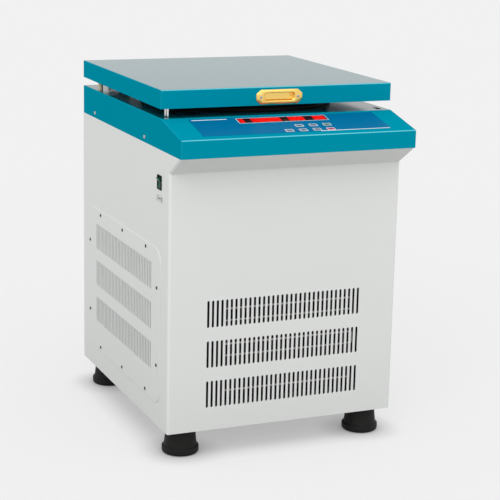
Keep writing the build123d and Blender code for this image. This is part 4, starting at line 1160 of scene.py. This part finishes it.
def make_floor():
    """A wide flat disc: its rings grow as the square of their number. Its own grey lights the object, and
    is darker close to it as painted shade. The camera and reflections see it paler, partly by its own glow,
    so that the shadow on it stays light, and the glow fades close to the object, as far as ambient
    occlusion finds it, as a painted contact shadow."""
    turns, rings, radius = 96, 8, 60.0
    near_object, away_from_object = 0.45, 1.6
    glow_strength = 0.635
    angle = np.linspace(0.0, 2 * pi, turns, endpoint=False)
    reach = radius * (np.arange(rings) / (rings - 1)) ** 2
    circle = np.stack([np.cos(angle), np.sin(angle), np.zeros(turns)], axis=-1)
    points, blocks = grid(reach[:, None, None] * circle[None], wrap_columns=True)
    mesh = bpy.data.meshes.new("studio floor")
    mesh.from_pydata(points.tolist(), [], blocks[0].tolist())
    work = bmesh.new()
    work.from_mesh(mesh)
    bmesh.ops.remove_doubles(work, verts=work.verts, dist=0.0001)
    work.to_mesh(mesh)
    work.free()
    floor = bpy.data.objects.new("studio_floor", mesh)
    bpy.context.scene.collection.objects.link(floor)
    material, tree, shader = new_material("studio floor")
    white = (1.0, 1.0, 1.0, 1.0)
    set_sockets(shader, {"Roughness": 0.9, "Specular_IOR_Level": 0.0, "Emission_Color": white})
    rays = tree.nodes.new("ShaderNodeLightPath")
    seen = calculate(tree, "MAXIMUM", rays.outputs["Is Camera Ray"], rays.outputs["Is Glossy Ray"])
    seen = calculate(tree, "MAXIMUM", seen, rays.outputs["Is Transmission Ray"])
    coords = tree.nodes.new("ShaderNodeTexCoord")
    away = add_node(tree, "ShaderNodeVectorMath", operation="LENGTH")
    link(tree, coords.outputs["Object"], away.inputs[0])
    spread = add_node(
        tree, "ShaderNodeMapRange", clamp=True, From_Min=near_object, From_Max=away_from_object
    )
    link(tree, away.outputs["Value"], spread.inputs["Value"])
    # The darker own grey close to the object is painted shade: it bounces less light onto the lower panels
    # and the chin.
    own = blend_colours(tree, spread.outputs["Result"], paint(140, 140, 140), paint(205, 205, 205))
    tone = use_group(tree, TONE_DRIFT, Colour=paint(130, 130, 130), Amount=0.006, Scale=1.5)
    link(tree, blend_colours(tree, seen, own, tone.outputs["Colour"]), shader.inputs["Base Color"])
    # The glow dims where ambient occlusion finds the object: a painted contact shadow on the floor.
    painted_contact_shadow = add_node(tree, "ShaderNodeAmbientOcclusion", samples=12, Distance=0.08)
    open_glow = calculate(tree, "MULTIPLY", painted_contact_shadow.outputs["AO"], glow_strength)
    link(tree, calculate(tree, "MULTIPLY", seen, open_glow), shader.inputs["Emission Strength"])
    mesh.materials.append(material)


def make_world():
    """An even white studio, a little brighter to the camera and in reflections."""
    even_light, extra_seen = 0.8, 0.1
    world = bpy.data.worlds.new("studio")
    bpy.context.scene.world = world
    world.use_nodes = True
    tree = world.node_tree
    shade = tree.nodes["Background"]
    shade.inputs["Color"].default_value = (1.0, 1.0, 1.0, 1.0)
    rays = tree.nodes.new("ShaderNodeLightPath")
    seen = calculate(tree, "MAXIMUM", rays.outputs["Is Camera Ray"], rays.outputs["Is Glossy Ray"])
    extra = calculate(tree, "MULTIPLY", seen, extra_seen)
    link(tree, calculate(tree, "ADD", extra, even_light), shade.inputs["Strength"])


def make_sun(name, azimuth, elevation, strength, spread):
    """A soft far lamp. In degrees, azimuth turns from -Y towards +X, elevation is above the floor and
    spread is the lamp's own width in the sky."""
    lamp = bpy.data.lights.new(name, "SUN")
    lamp.energy = strength
    lamp.angle = radians(spread)
    sun = bpy.data.objects.new(name, lamp)
    bpy.context.scene.collection.objects.link(sun)
    sun.rotation_euler = (radians(90 - elevation), 0.0, radians(azimuth))


def make_camera():
    """The photograph's viewpoint. In degrees, lift is how far the camera is raised from looking straight
    down, roll is its lean to one side and turn is its swing from looking along +Y. The lens is in
    millimetres."""
    place = Vector((-1.48945, -3.56907, 1.36087))
    lift, roll, turn = 76.45815, -1.25942, -22.86144
    data = bpy.data.cameras.new("studio camera")
    data.lens = 110.487
    data.sensor_width = 36.0
    data.clip_end = 200.0
    camera = bpy.data.objects.new("studio_camera", data)
    bpy.context.scene.collection.objects.link(camera)
    angles = Euler((radians(lift), radians(roll), radians(turn)))
    camera.matrix_world = Matrix.LocRotScale(place, angles, None)
    bpy.context.scene.camera = camera


make_floor()
make_world()
make_sun("key", azimuth=-42.0, elevation=35.0, strength=0.82, spread=40.0)
make_sun("front fill", azimuth=10.0, elevation=30.0, strength=0.28, spread=50.0)
make_sun("top fill", azimuth=0.0, elevation=75.0, strength=0.36, spread=50.0)
make_camera()
bpy.context.scene.view_settings.view_transform = "Standard"
